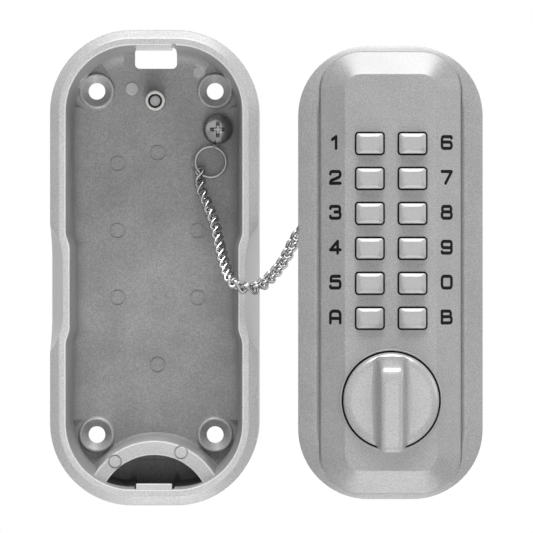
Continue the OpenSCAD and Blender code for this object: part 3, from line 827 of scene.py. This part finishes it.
def build_body():
    obj = make("body_casting", loft(body_rings()), SILVER)
    combine(obj, "DIFFERENCE", fillet_breaks())

    root = OPEN_TOP + LIP_ROOT
    added = [boss(x, z) for x, z in HOLES] + [screw_boss()]
    added += [pin_disc(x, z) for x, z in PIN_DISCS]
    added += [dam(), lip(OPEN_TOP - TOP_LIP, root), lip(LOW_LIP - OPEN_TOP, -root)]
    combine(obj, "UNION", *added)

    cuts = [wall_hole(x, z) for x, z in HOLES]
    cuts += [pin_mark(x, z, FLOOR_Y, MARK_R) for x, z in PIN_MARKS]
    cuts += [pin_mark(x, z, ARCH_Y, DAM_MARK_R) for x, z in DAM_MARKS]
    combine(obj, "DIFFERENCE", joined(cuts), *catch_cuts())

    # Darker finish over the cavity: partly the cast look, partly painted shade, and painted shade in the
    # dam's mark rings
    refinish(obj, INSIDE_CAST_AND_SHADE, is_cavity_shade)
    # Painted highlight along the roundings of the rim, the lips, the dam and the bosses
    refinish(obj, PAINTED_HIGHLIGHT, is_painted_highlight)
    dress(obj, "body", "body_shell")


build_body()


# Key peg, its pin, the chain screw and the jump ring

def build_peg():
    """Hollow peg with a rounded mouth, and the core inside it."""
    top = FLOOR_Y - PEG_LONG
    bottom = FLOOR_Y - PEG_FLOOR
    sleeve = [
        (PEG_TAIL_R, FLOOR_Y + PEG_TAIL),
        (PEG_TAIL_R, FLOOR_Y),
        (PEG_R, FLOOR_Y),
        (PEG_R, top + 0.45),
        (PEG_R - 0.1, top + 0.12),
        (PEG_R - 0.35, top),
        (PEG_BORE + 0.3, top),
        (PEG_BORE + 0.05, top + 0.12),
        (PEG_BORE, top + 0.4),
        (PEG_BORE, bottom),
    ]
    core = [
        (CORE_FOOT_R, bottom),
        (CORE_FOOT_R, bottom - CORE_FOOT),
        (CORE_R, bottom - CORE_FOOT),
        (CORE_R, top + CORE_DROP + 0.5),
        (CORE_R - 0.15, top + CORE_DROP + 0.15),
        (CORE_R - 0.5, top + CORE_DROP),
    ]
    peg = make("key_peg_sleeve", turned(sleeve, PEG.x, PEG.z), ZINC)
    pin = make("key_peg_core", turned(core, PEG.x, PEG.z), BUTTON)
    dress(peg, "body", "key_peg")
    dress(pin, "body", "key_peg_pin")


def cross_recess(x, z, y, reach, width, depth):
    """Two tapered bars that cross, for a driver."""
    shapes = []
    for long_x, long_z in ((reach, width), (width, reach)):
        rings = []
        for share, sink in ((1.06, -OVER), (1.0, 0.0), (0.45, depth)):
            dx, dz = long_x * share, long_z * share
            corners = [(x + dx, z + dz), (x - dx, z + dz), (x - dx, z - dz), (x + dx, z - dz)]
            rings.append(at_depth(corners, y + sink))
        shapes.append(loft(rings))
    return shapes


def build_chain_screw():
    """Screw with a low dome and a cross recess."""
    x, z = SCREW.x, SCREW.z
    edge = SCREW_SEAT - SCREW_EDGE
    profile = [
        (SCREW_SHANK_R, FLOOR_Y + SCREW_SHANK),
        (SCREW_SHANK_R, SCREW_SEAT),
        (SCREW_R - 0.2, SCREW_SEAT),
        (SCREW_R, SCREW_SEAT - 0.2),
    ]
    for degrees in range(0, 90, 8):
        a = math.radians(degrees)
        profile.append((SCREW_R * math.cos(a), edge - SCREW_DOME * math.sin(a)))
    obj = make("dome_screw", turned(profile, x, z), POLISHED)
    recess = cross_recess(x, z, edge - SCREW_DOME, DRIVER_REACH, DRIVER_HALF, DRIVER_DEPTH)
    combine(obj, "DIFFERENCE", *recess)
    dress(obj, "body", "chain_screw", angle=40)


def tube(points, radius, steps, looped=True):
    """Rings of a round wire along points; looped wires close on themselves."""
    rings = []
    count = len(points)
    side = None
    for i, p in enumerate(points):
        ahead = points[(i + 1) % count] if looped or i + 1 < count else p
        behind = points[i - 1] if looped or i else p
        way = (ahead - behind).normalized()
        if side is None:
            side = way.orthogonal()
        side = (side - way * side.dot(way)).normalized()
        up = way.cross(side)
        rings.append([tuple(p + side * u + up * v) for u, v in circle(radius, steps)])
    return rings


def build_ring():
    """Round wire bent to a ring that faces the front."""
    section = [(RING_R + out, y) for out, y in circle(RING_WIRE / 2, 12)]
    rings = []
    for x, z in circle(1.0, 96):
        rings.append([tuple(RING_AT + Vector((r * x, y, r * z))) for r, y in section])
    obj = make("jump_ring", loft(rings, looped=True), ZINC)
    dress(obj, "body", "chain_ring")


build_peg()
build_chain_screw()
build_ring()


# Chain

ANCHOR_DEPTH = 1.5
ANCHOR_AT = node_middle("cover_chain_screw")
ANCHOR_AT.y = node_box("cover_chain_screw")[0].y + ANCHOR_DEPTH

# Route of the chain: first from the ring's middle, then from the anchor on the cover's back
RING_ROUTE = [
    (-3.3, 0, -4.25), (-3.1, -0.7, -7.55), (-2.0, -2.2, -10.75), (-0.6, -4.6, -14.15),
    (0.95, -7.8, -18.15), (2.55, -13, -24.35), (3.95, -19, -29.95), (5.45, -24.6, -34.55),
]
ANCHOR_ROUTE = [
    (-33.2, 3.6, -19.1), (-29.8, 2, -20.6), (-26.6, 2.6, -20.6), (-23.5, 4, -18.9),
    (-20.6, 5.8, -16.2), (-18, 7.4, -12.8), (-16, 8.3, -9.1), (-14.2, 8.7, -5.7),
    (-12, 8.4, -2.9), (-9, 6.4, -0.9), (-5.2, 2.8, -0.1), (-0.9, 1.7, 0),
]
ROUTE = [RING_AT + Vector(p) for p in RING_ROUTE] + [ANCHOR_AT + Vector(p) for p in ANCHOR_ROUTE]
PITCH_FIRST = 3.7
PITCH_LAST = 2.95
LINK_LONG = 2.4
LINK_WIDE = 1.25
LINK_CURL = 1.25
LINK_WIRE = 1.12
LINK_STEPS = 32

# Turn of the links about the chain, in degrees, by their share of its length
TWIST = ((0.0, 90.0), (0.5, 78.0), (0.7, 20.0), (1.0, 8.0))

# Where the chain's second and third stretches start, and a length past the third one's start that its row
# holds
RUN_X = ANCHOR_AT.x - 11.2
END_X = ANCHOR_AT.x - 6.2
TAIL_BEND = 3.0


def smooth_route(points, per_span=12):
    """Points along a smooth curve through the route."""
    points = [2 * points[0] - points[1]] + points + [2 * points[-1] - points[-2]]
    curve = []
    for a, b, c, d in zip(points, points[1:], points[2:], points[3:]):
        for i in range(per_span):
            t = i / per_span
            curve.append(0.5 * (2 * b + (c - a) * t + (2 * a - 5 * b + 4 * c - d) * t ** 2
                                + (3 * b - a - 3 * c + d) * t ** 3))
    return curve + [points[-2]]


def twist_at(share):
    """Turn of a link, in radians."""
    for (s0, a0), (s1, a1) in zip(TWIST, TWIST[1:]):
        if share <= s1:
            return math.radians(a0 + (a1 - a0) * ease((share - s0) / (s1 - s0)))
    return 0.0


def link(middle, way, turn):
    """Twisted oval link of round wire, turned about the chain's way."""
    front = Vector((0, -1, 0))
    front = (front - way * front.dot(way)).normalized()
    side = way.cross(front) * math.cos(turn) + front * math.sin(turn)
    face = way.cross(side)
    loop = []
    for along, across in circle(1.0, LINK_STEPS):
        flat = way * (LINK_LONG * along) + side * (LINK_WIDE * across)
        loop.append(middle + flat + face * (LINK_CURL * 2 * along * across))
    return loft(tube(loop, LINK_WIRE / 2, 8), looped=True)


def chain_links():
    """Links along the route, as (middle, shape) pairs."""
    curve = smooth_route(ROUTE)
    lengths = [0.0]
    for a, b in zip(curve, curve[1:]):
        lengths.append(lengths[-1] + (b - a).length)

    def at(s):
        s = min(max(s, 0.0), lengths[-1] - 1e-6)
        i = max(k for k in range(len(curve) - 1) if lengths[k] <= s)
        t = (s - lengths[i]) / (lengths[i + 1] - lengths[i])
        return curve[i].lerp(curve[i + 1], t)

    links = []
    mean = (PITCH_FIRST + PITCH_LAST) / 2
    count = round(lengths[-1] / mean) + 1
    for i in range(count):
        along = i / (count - 1)
        share = (PITCH_FIRST * along + (PITCH_LAST - PITCH_FIRST) * along ** 2 / 2) / mean
        s = share * lengths[-1]
        way = (at(s + LINK_LONG) - at(s - LINK_LONG)).normalized()
        links.append((at(s), link(at(s), way, twist_at(share))))
    return links


def build_chain():
    """Three stretches of links, split along the chain, each in place of its node."""
    stretches = [[], [], []]
    for middle, shape in chain_links():
        stretches[(middle.x >= RUN_X) + (middle.x >= END_X)].append(shape)
    rows = (
        ("chain_fall", "body", "chain_run", ROUTE[0].x, RUN_X, "chain_upper"),
        ("chain_lift", "chain_run", "chain_end", RUN_X, END_X, "chain_run"),
        ("chain_tail", "chain_end", "cover", END_X, END_X + TAIL_BEND, "chain_end"),
    )
    for (name, a, b, from_x, to_x, node), shapes in zip(rows, stretches):
        obj = make(name, joined(shapes), CHROME)
        smooth(obj, 60)
        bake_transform(obj)
        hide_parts(node)


build_chain()


# Cover, drawn with its seat at y 0 and moved to its place beside the body

def plate(w, h, r, steps, levels):
    """Stack of rounded outlines, as (inset, level) pairs."""
    rings = [at_depth(rounded(w - 2 * i, h - 2 * i, r - i, steps), -level) for i, level in levels]
    return loft(rings)


def to_cover(obj, x=0.0, z=0.0):
    """Moves a piece to its place on the cover."""
    obj.data.transform(Matrix.Translation((COVER_AT + Vector((x, 0, z))) * MM))


def flange():
    """Sloping edge of the cover, slightly crowned, with a dip beside the plateau."""
    levels = [
        (0.3, 0.0),
        (0.08, 0.08),
        (0.0, 0.3),
        (0.0, EDGE_T - 0.3),
        (0.1, EDGE_T - 0.05),
        (0.35, EDGE_T + 0.12),
    ]
    first_in, first_level = levels[-1]
    for t in shares(18):
        dip = FLANGE_DIP * ease((t - FLANGE_DIP_FROM) / FLANGE_DIP_SPAN)
        crown = FLANGE_CROWN * math.sin(math.pi * t) - dip
        slope = first_level + (FLANGE_RISE - first_level) * t
        levels.append((first_in + (FLANGE_IN - first_in) * t, slope + crown))
    return plate(COVER_W, COVER_H, COVER_R, 18, levels)


def plateau():
    """Raised middle of the cover, with a bevel all round and a flat top."""
    rise = (PLATEAU_TOP - PLATEAU_EDGE) / BEVEL_IN
    levels = [
        (0.0, 0.5),
        (0.0, PLATEAU_EDGE - 0.45),
        (0.05, PLATEAU_EDGE - 0.2),
        (0.22, PLATEAU_EDGE + 0.05),
        (0.55, PLATEAU_EDGE + 0.55 * rise),
        (BEVEL_IN - 0.2, PLATEAU_TOP - 0.2 * rise),
        (BEVEL_IN - 0.05, PLATEAU_TOP - 0.06),
        (BEVEL_IN + 0.15, PLATEAU_TOP),
    ]
    return plate(PLATEAU_W, PLATEAU_H, PLATEAU_R, 14, levels)


def key_hole(x, z):
    """Hole of a button, widened at its mouth."""
    w, h = BUTTON_W + 2 * BUTTON_GAP, BUTTON_H + 2 * BUTTON_GAP
    rings = []
    for grow, level in ((0.6, PLATEAU_TOP + 0.45), (0.0, PLATEAU_TOP - 0.15), (0.0, INNER_TOP - 1.0)):
        outline = rounded(w + 2 * grow, h + 2 * grow, HOLE_CORNER + grow, 6)
        rings.append(at_depth(outline, -level, x, z))
    return loft(rings)


# Legend strokes: the radius of their bends, then corner points in a box one wide and one high

STROKES = {
    "1": (0.8, [[(0.2, 0.76), (0.58, 1)], [(0.58, 1), (0.58, 0)]]),
    "2": (0.8, [[(0, 0.8), (0, 1), (1, 1), (1, 0.55), (0, 0.22), (0, 0)], [(0, 0), (1, 0)]]),
    "3": (0.8, [[(0, 0.84), (0, 1), (0.96, 1), (0.96, 0.53), (0.45, 0.53)],
                [(0.45, 0.53), (1, 0.53), (1, 0), (0, 0), (0, 0.16)]]),
    "4": (0.8, [[(0.74, 0), (0.74, 1)], [(0.74, 1), (0, 0.28)], [(0, 0.28), (1, 0.28)]]),
    "5": (0.8, [[(0.95, 1), (0.06, 1), (0.06, 0.58)],
                [(0.06, 0.6), (1, 0.6), (1, 0), (0, 0), (0, 0.16)]]),
    "a": (1.2, [[(0, 0), (0, 1), (1, 1), (1, 0)], [(0, 0.38), (1, 0.38)]]),
    "6": (0.8, [[(1, 0.88), (1, 1), (0, 1), (0, 0), (1, 0), (1, 0.54), (0.1, 0.54)]]),
    "7": (0.8, [[(0, 1), (1, 1)], [(1, 1), (0.38, 0)]]),
    "8": (0.8, [[(0.04, 0.54), (0.96, 0.54), (0.96, 1), (0.04, 1), (0.04, 0.54)],
                [(0, 0), (1, 0), (1, 0.54), (0, 0.54), (0, 0)]]),
    "9": (0.8, [[(0, 0.12), (0, 0), (1, 0), (1, 1), (0, 1), (0, 0.46), (0.9, 0.46)]]),
    "0": (0.9, [[(0, 0), (1, 0), (1, 1), (0, 1), (0, 0)]]),
    "b": (0.8, [[(0, 0), (0, 1)], [(0, 1), (0.92, 1), (0.92, 0.53), (0, 0.53)],
                [(0, 0.53), (1, 0.53), (1, 0), (0, 0)]]),
}
GLYPH_W = 2.9
GLYPH_H = 3.5


def bent(corners, radius, steps=5):
    """Line through corner points with round bends; a line that ends where it starts is closed."""
    corners = [Vector(c) for c in corners]
    closed = (corners[0] - corners[-1]).length < 1e-6
    ring = corners[:-1] if closed else corners
    ends = () if closed else (0, len(ring) - 1)
    line = []
    for i, corner in enumerate(ring):
        if i in ends:
            line.append(corner)
            continue
        near = (i - 1, (i + 1) % len(ring))
        before, after = ring[near[0]], ring[near[1]]
        room = [(ring[k] - corner).length * (0.95 if k in ends else 0.48) for k in near]
        cut = min(radius, *room)
        a = corner + (before - corner).normalized() * cut
        b = corner + (after - corner).normalized() * cut
        for k in range(steps + 1):
            t = k / steps
            line.append(a * (1 - t) ** 2 + corner * 2 * t * (1 - t) + b * t ** 2)
    return line + [line[0]] if closed else line


def flat_ring(p, way, normal, half, deep, steps=10):
    """Oval section of a stroke."""
    side = normal.cross(way).normalized()
    turns = [2 * math.pi * (k + 0.3) / steps for k in range(steps)]
    return [tuple(p + side * (half * math.cos(a)) + normal * (deep * math.sin(a))) for a in turns]


def stroke(points, normal, half, deep):
    """Flattened wire along points, closed on itself or round at both ends."""
    if (points[0] - points[-1]).length < 1e-6:
        loop = points[:-1]
        ways = [(loop[(i + 1) % len(loop)] - loop[i - 1]).normalized() for i in range(len(loop))]
        rings = [flat_ring(p, way, normal, half, deep) for p, way in zip(loop, ways)]
        return loft(rings, looped=True)
    start = (points[0] - points[1]).normalized()
    end = (points[-1] - points[-2]).normalized()
    cap = ((0.98, 0.2), (0.8, 0.6), (0.45, 0.9))
    stops = [(points[0] + start * half * d, k) for d, k in cap]
    stops += [(p, 1.0) for p in points]
    stops += [(points[-1] + end * half * d, k) for d, k in reversed(cap)]
    rings = []
    for i, (p, k) in enumerate(stops):
        way = (stops[min(i + 1, len(stops) - 1)][0] - stops[max(i - 1, 0)][0]).normalized()
        rings.append(flat_ring(p, way, normal, half * k, deep * k))
    return loft(rings)


def legend(key, x, z):
    """Strokes of one legend on the bevel beside its button."""
    sign = math.copysign(1, x)
    slope = math.atan2(PLATEAU_TOP - PLATEAU_EDGE, BEVEL_IN)
    right = Vector((math.cos(slope), sign * math.sin(slope), 0))
    normal = Vector((sign * math.sin(slope), -math.cos(slope), 0))
    level = PLATEAU_EDGE + (PLATEAU_W / 2 - LEGEND_X) * math.tan(slope)
    middle = Vector((sign * LEGEND_X, -level, z + LEGEND_UP)) - normal * LEGEND_SINK
    wide = GLYPH_W / math.cos(slope)
    radius, lines = STROKES[key]
    shapes = []
    for line in lines:
        corners = [((u - 0.5) * wide, (v - 0.5) * GLYPH_H) for u, v in line]
        points = [middle + right * p.x + Vector((0, 0, p.y)) for p in bent(corners, radius)]
        shapes.append(stroke(points, normal, LEGEND_HALF, LEGEND_DEEP))
    return shapes


def is_painted_gap_shade(x, y, z, normal):
    """True for the faces inside the button holes and the knob's recess, which get painted shade, before
    the cover is moved.
    """
    level = -y
    if math.hypot(x, z - KNOB_Z) < SEAT_R + 0.15:
        return RECESS_FLOOR - 0.2 < level < PLATEAU_TOP - 0.1
    if not HOLE_LOW < level < PLATEAU_TOP - 0.2:
        return False
    half_w = BUTTON_W / 2 + BUTTON_GAP + 0.05
    half_h = BUTTON_H / 2 + BUTTON_GAP + 0.05
    return any(abs(x - kx) < half_w and abs(z - kz) < half_h for kx, kz in KEY_AT.values())


def groove():
    """Room round the foot of the plateau, for cutting."""
    w, h = PLATEAU_W + 2 * GROOVE, PLATEAU_H + 2 * GROOVE
    return plate(w, h, PLATEAU_R + GROOVE, 14, [(0.0, GROOVE_LOW), (0.0, GROOVE_HIGH)])


def knob_seat():
    """Low rim round the knob."""
    return turned([
        (SEAT_R, -RECESS_FLOOR - 0.2),
        (SEAT_R, -SEAT_TOP + 0.15),
        (SEAT_R + 0.1, -SEAT_TOP),
        (SEAT_R + 0.35, -SEAT_TOP),
        (SEAT_R + 0.5, -SEAT_TOP + 0.15),
        (SEAT_R + 0.6, -SEAT_ROOT),
    ], 0, KNOB_Z, 96)


def case_rooms():
    """Rooms in the back of the cover: a wide step for the mechanism's case, and a deeper pocket."""
    side = CASE_HALF + CASE_GAP
    bottom, top = CASE_BOTTOM + CASE_GAP, CASE_TOP - CASE_GAP
    return [
        block(-side, side, -GUIDE_T, OVER, CASE_BOTTOM, CASE_TOP),
        block(-POCKET_W / 2, POCKET_W / 2, -INNER_TOP, OVER / 2, bottom, top),
    ]


def build_cover():
    obj = make("cover_casting", flange(), COVER)
    combine(obj, "DIFFERENCE", groove())
    combine(obj, "UNION", plateau(), knob_seat())
    recess = turned([(SEAT_R, -PLATEAU_TOP - OVER), (SEAT_R, -RECESS_FLOOR)], 0, KNOB_Z, 96)
    holes = [key_hole(x, z) for x, z in KEY_AT.values()]
    holes.append(turned([(SPINDLE_R, -PLATEAU_TOP - 2 * OVER), (SPINDLE_R, -HOLE_LOW)], 0, KNOB_Z))
    combine(obj, "DIFFERENCE", recess, *case_rooms(), joined(holes))
    # Painted shade inside the button holes and the knob's recess
    refinish(obj, PAINTED_GAP_SHADE, is_painted_gap_shade)
    to_cover(obj)
    dress(obj, "cover", "cover_shell")


def build_legends():
    strokes = [shape for key, place in KEY_AT.items() for shape in legend(key, *place)]
    ink = make("legends", joined(strokes), INK)
    to_cover(ink)
    smooth(ink, 60)
    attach(ink, "cover")


build_cover()
build_legends()


# Buttons

def button_shape():
    """Cap, foot and stem of a button, round the middle of its hole."""
    top = PLATEAU_TOP + BUTTON_PROUD
    foot_top = INNER_TOP - 0.1
    levels = [
        (0.0, foot_top - 0.2),
        (0.0, top - 0.95),
        (0.05, top - 0.82),
        (0.18, top - 0.68),
        (0.85, top - 0.16),
        (1.0, top - 0.07),
        (1.25, top - 0.02),
        (1.6, top),
    ]
    cap = []
    for inset, level in levels:
        corner = min(BUTTON_TOP_CORNER, BUTTON_CORNER + BUTTON_CORNER_GROWTH * inset)
        outline = rounded(BUTTON_W - 2 * inset, BUTTON_H - 2 * inset, corner, 8)
        cap.append(at_depth(outline, -level))
    grow = BUTTON_GAP + BUTTON_FOOT
    outline = rounded(BUTTON_W + 2 * grow, BUTTON_H + 2 * grow, HOLE_CORNER, 6)
    foot = prism(outline, -foot_top, -foot_top + BUTTON_FOOT_T)
    stem = [(STEM_R, -foot_top + 0.5), (STEM_R, STEM_END - 0.3), (STEM_R - 0.2, STEM_END)]
    return loft(cap), foot, turned(stem, 0, 0, 32)


def build_buttons():
    """One pattern, copied to each button's place."""
    cap, foot, stem = button_shape()
    pattern = make("button", cap, BUTTON)
    combine(pattern, "UNION", foot, stem)
    # Painted shade on the button's sides and foot, below the plateau's top
    refinish(pattern, PAINTED_GAP_SHADE, lambda x, y, z, normal: -y < PLATEAU_TOP - 0.3)
    for key, place in KEY_AT.items():
        obj = add_object("push_button_" + key, pattern.data.copy())
        to_cover(obj, *place)
        dress(obj, "button_" + key, "button_" + key)
    bpy.data.meshes.remove(pattern.data)


build_buttons()


# Knob

def knob_disc():
    """Round disc with a wide rounding, dished towards its middle."""
    profile = [
        (KNOB_R - 0.52, -KNOB_BASE),
        (KNOB_R - 0.12, -KNOB_BASE - 0.1),
        (KNOB_R, -KNOB_BASE - 0.35),
        (KNOB_R, -KNOB_SIDE),
    ]
    flat_r = KNOB_R - KNOB_EDGE
    for t in shares(10):
        a = math.pi / 2 * t
        profile.append((flat_r + KNOB_EDGE * math.cos(a), -KNOB_SIDE - KNOB_RISE * math.sin(a)))
    for t in shares(8):
        profile.append((flat_r - KNOB_DISH_R * t, -KNOB_SIDE - KNOB_RISE + KNOB_DISH * ease(t)))
    return turned(profile, 0, KNOB_Z, 128)


# Sections of the grip bar: level, half width, reach below the knob's middle, reach above it
GRIP = [
    (11.6, 6.5, 11.6, 12.0),
    (12.9, 6.3, 11.8, 12.2),
    (13.3, 5.6, 12.6, 12.7),
    (13.9, 4.9, 13.8, 13.1),
    (14.9, 4.3, 14.7, 13.0),
    (16.4, 3.95, 15.2, 12.6),
    (18.0, 3.75, 15.3, 11.8),
    (19.6, 3.6, 15.3, 10.9),
    (20.7, 3.5, 15.3, 10.2),
    (21.4, 3.35, 15.2, 9.5),
    (21.95, 3.1, 15.0, 8.6),
    (22.3, 2.75, 14.7, 7.6),
    (22.5, 2.3, 14.35, 6.7),
    (22.6, 1.7, 13.8, 5.8),
]


def grip_bar():
    """Bar across the knob: wide at its foot, past the disc at its lower end, ramped at its upper end."""
    rings = []
    for level, half_w, low, high in GRIP:
        outline = rounded(2 * half_w, low + high, min(GRIP_CORNER, half_w - 0.3), 8)
        rings.append(at_depth(outline, -level, z=KNOB_Z + (high - low) / 2))
    return loft(rings)


def build_knob():
    obj = make("turn_knob", knob_disc(), KNOB)
    combine(obj, "UNION", grip_bar())
    to_cover(obj)
    dress(obj, "knob", "knob", angle=34)


build_knob()


# Latch spring

def build_latch_spring():
    """Coil above the latch slide, in the latch spring's place."""
    low, high = node_box("latch_spring")
    middle = (low + high) / 2
    wire, turns, per_turn = 0.35, 6, 24
    reach = (high.x - low.x) / 2 - wire
    points = []
    for i in range(turns * per_turn + 1):
        a = 2 * math.pi * i / per_turn
        rise = (high.z - low.z - 2 * wire) * i / (turns * per_turn)
        x, y = middle.x + reach * math.cos(a), middle.y + reach * math.sin(a)
        points.append(Vector((x, y, low.z + wire + rise)))
    obj = make("latch_coil", loft(tube(points, wire, 8, looped=False)), SPRING)
    dress(obj, "cover", "latch_spring", angle=60)
    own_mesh(obj)


build_latch_spring()


# Finishes of the pieces that keep their own shape

for finish, names in (
    (PLASTIC, ["slot_liner"]),
    (INSIDE_CAST_AND_SHADE, ["chain_tag"]),
    (ZINC, ["mechanism_case", "rear_plate", "latch_slide", "spindle", "cam"]),
    (CHROME, ["rear_screws", "cover_chain_screw"]),
    (SPRING, ["button_springs", "spindle_clip"]),
    (BRASS, ["code_pin_" + key for key in KEY_AT]),
):
    for node in names:
        slots = frame["nodes"][node].data.materials
        slots.clear()
        slots.append(finish)


# Floor, light and camera

VIEW_X = 34.1
VIEW_Z = 0.3
VIEW_FAR = 1600.0
PIXELS = 533
PIXELS_PER_MM = 3.3
FRAME_W = PIXELS / PIXELS_PER_MM
STAGE_X = (-1.5, 1.6)
STAGE_Y = (-2.0, 0.2)
STAGE_Z = -0.1
WORLD_LIGHT = 0.12

# Lamps, which all face one point: name, place, width and height in metres, and power in watts
LAMP_AIM = Vector((VIEW_X * MM, -0.04, 0.0))
LAMPS = [
    ("overhead", (0.1, -0.8, 1.9), 2.0, 0.7, 60.0),
    ("below", (0.1, -0.3, -0.65), 0.4, 0.4, 3.4),
    ("right", (1.3, -0.3, 0.3), 0.6, 0.6, 2.0),
    ("front", (0.1, -0.9, -0.3), 0.5, 0.5, 2.3),
    ("behind", (0.0, 1.2, 0.7), 1.0, 1.0, 7.0),
]


def build_floor():
    """Pale floor that ends just behind the object."""
    grain, dark, pale, roughness = 6.0, 0.44, 0.47, 0.7
    mat, tree, place = material("pale_floor")
    colour = ramp(tree, noise(tree, place, grain), grey(dark), grey(pale))
    shade(tree, {"Base Color": colour, "Roughness": roughness})
    mesh = bpy.data.meshes.new("floor")
    (x0, x1), (y0, y1), z = STAGE_X, STAGE_Y, STAGE_Z
    mesh.from_pydata([(x0, y0, z), (x1, y0, z), (x1, y1, z), (x0, y1, z)], [], [(0, 1, 2, 3)])
    mesh.materials.append(mat)
    floor = add_object("floor", mesh)
    floor.visible_shadow = False


def build_world():
    """White where it is seen or mirrored, softer as a light."""
    world = bpy.data.worlds.new("studio")
    bpy.context.scene.world = world
    world.use_nodes = True
    tree = world.node_tree
    path = tree.nodes.new("ShaderNodeLightPath")
    seen = path.outputs["Is Camera Ray"]
    for ray in ("Is Glossy Ray", "Is Transmission Ray"):
        both = add_node(tree, "Math", {0: seen, 1: path.outputs[ray]})
        both.operation = "MAXIMUM"
        seen = both.outputs[0]
    level = add_node(tree, "MapRange", {"Value": seen, "To Min": WORLD_LIGHT, "To Max": 1.0})
    feed(tree, tree.nodes["Background"], {"Color": (1, 1, 1, 1), "Strength": level.outputs["Result"]})


def build_lamp(name, place, wide, high, power):
    """Soft rectangular lamp that faces the object."""
    data = bpy.data.lights.new(name, "AREA")
    data.shape = "RECTANGLE"
    data.size = wide
    data.size_y = high
    data.energy = power
    obj = add_object(name, data)
    obj.location = place
    obj.rotation_euler = (LAMP_AIM - Vector(place)).to_track_quat("-Z", "Y").to_euler()


def build_camera():
    """Camera straight in front, at the photograph's framing."""
    data = bpy.data.cameras.new("camera")
    data.sensor_fit = "HORIZONTAL"
    data.angle = 2 * math.atan(FRAME_W / 2 / VIEW_FAR)
    data.clip_end = 20.0
    obj = add_object("camera", data)
    obj.location = Vector((VIEW_X, RIM_Y - VIEW_FAR, VIEW_Z)) * MM
    obj.rotation_euler = (math.pi / 2, 0, 0)
    bpy.context.scene.camera = obj


build_floor()
build_world()
for row in LAMPS:
    build_lamp(*row)
build_camera()

bpy.context.scene.view_settings.view_transform = "Standard"
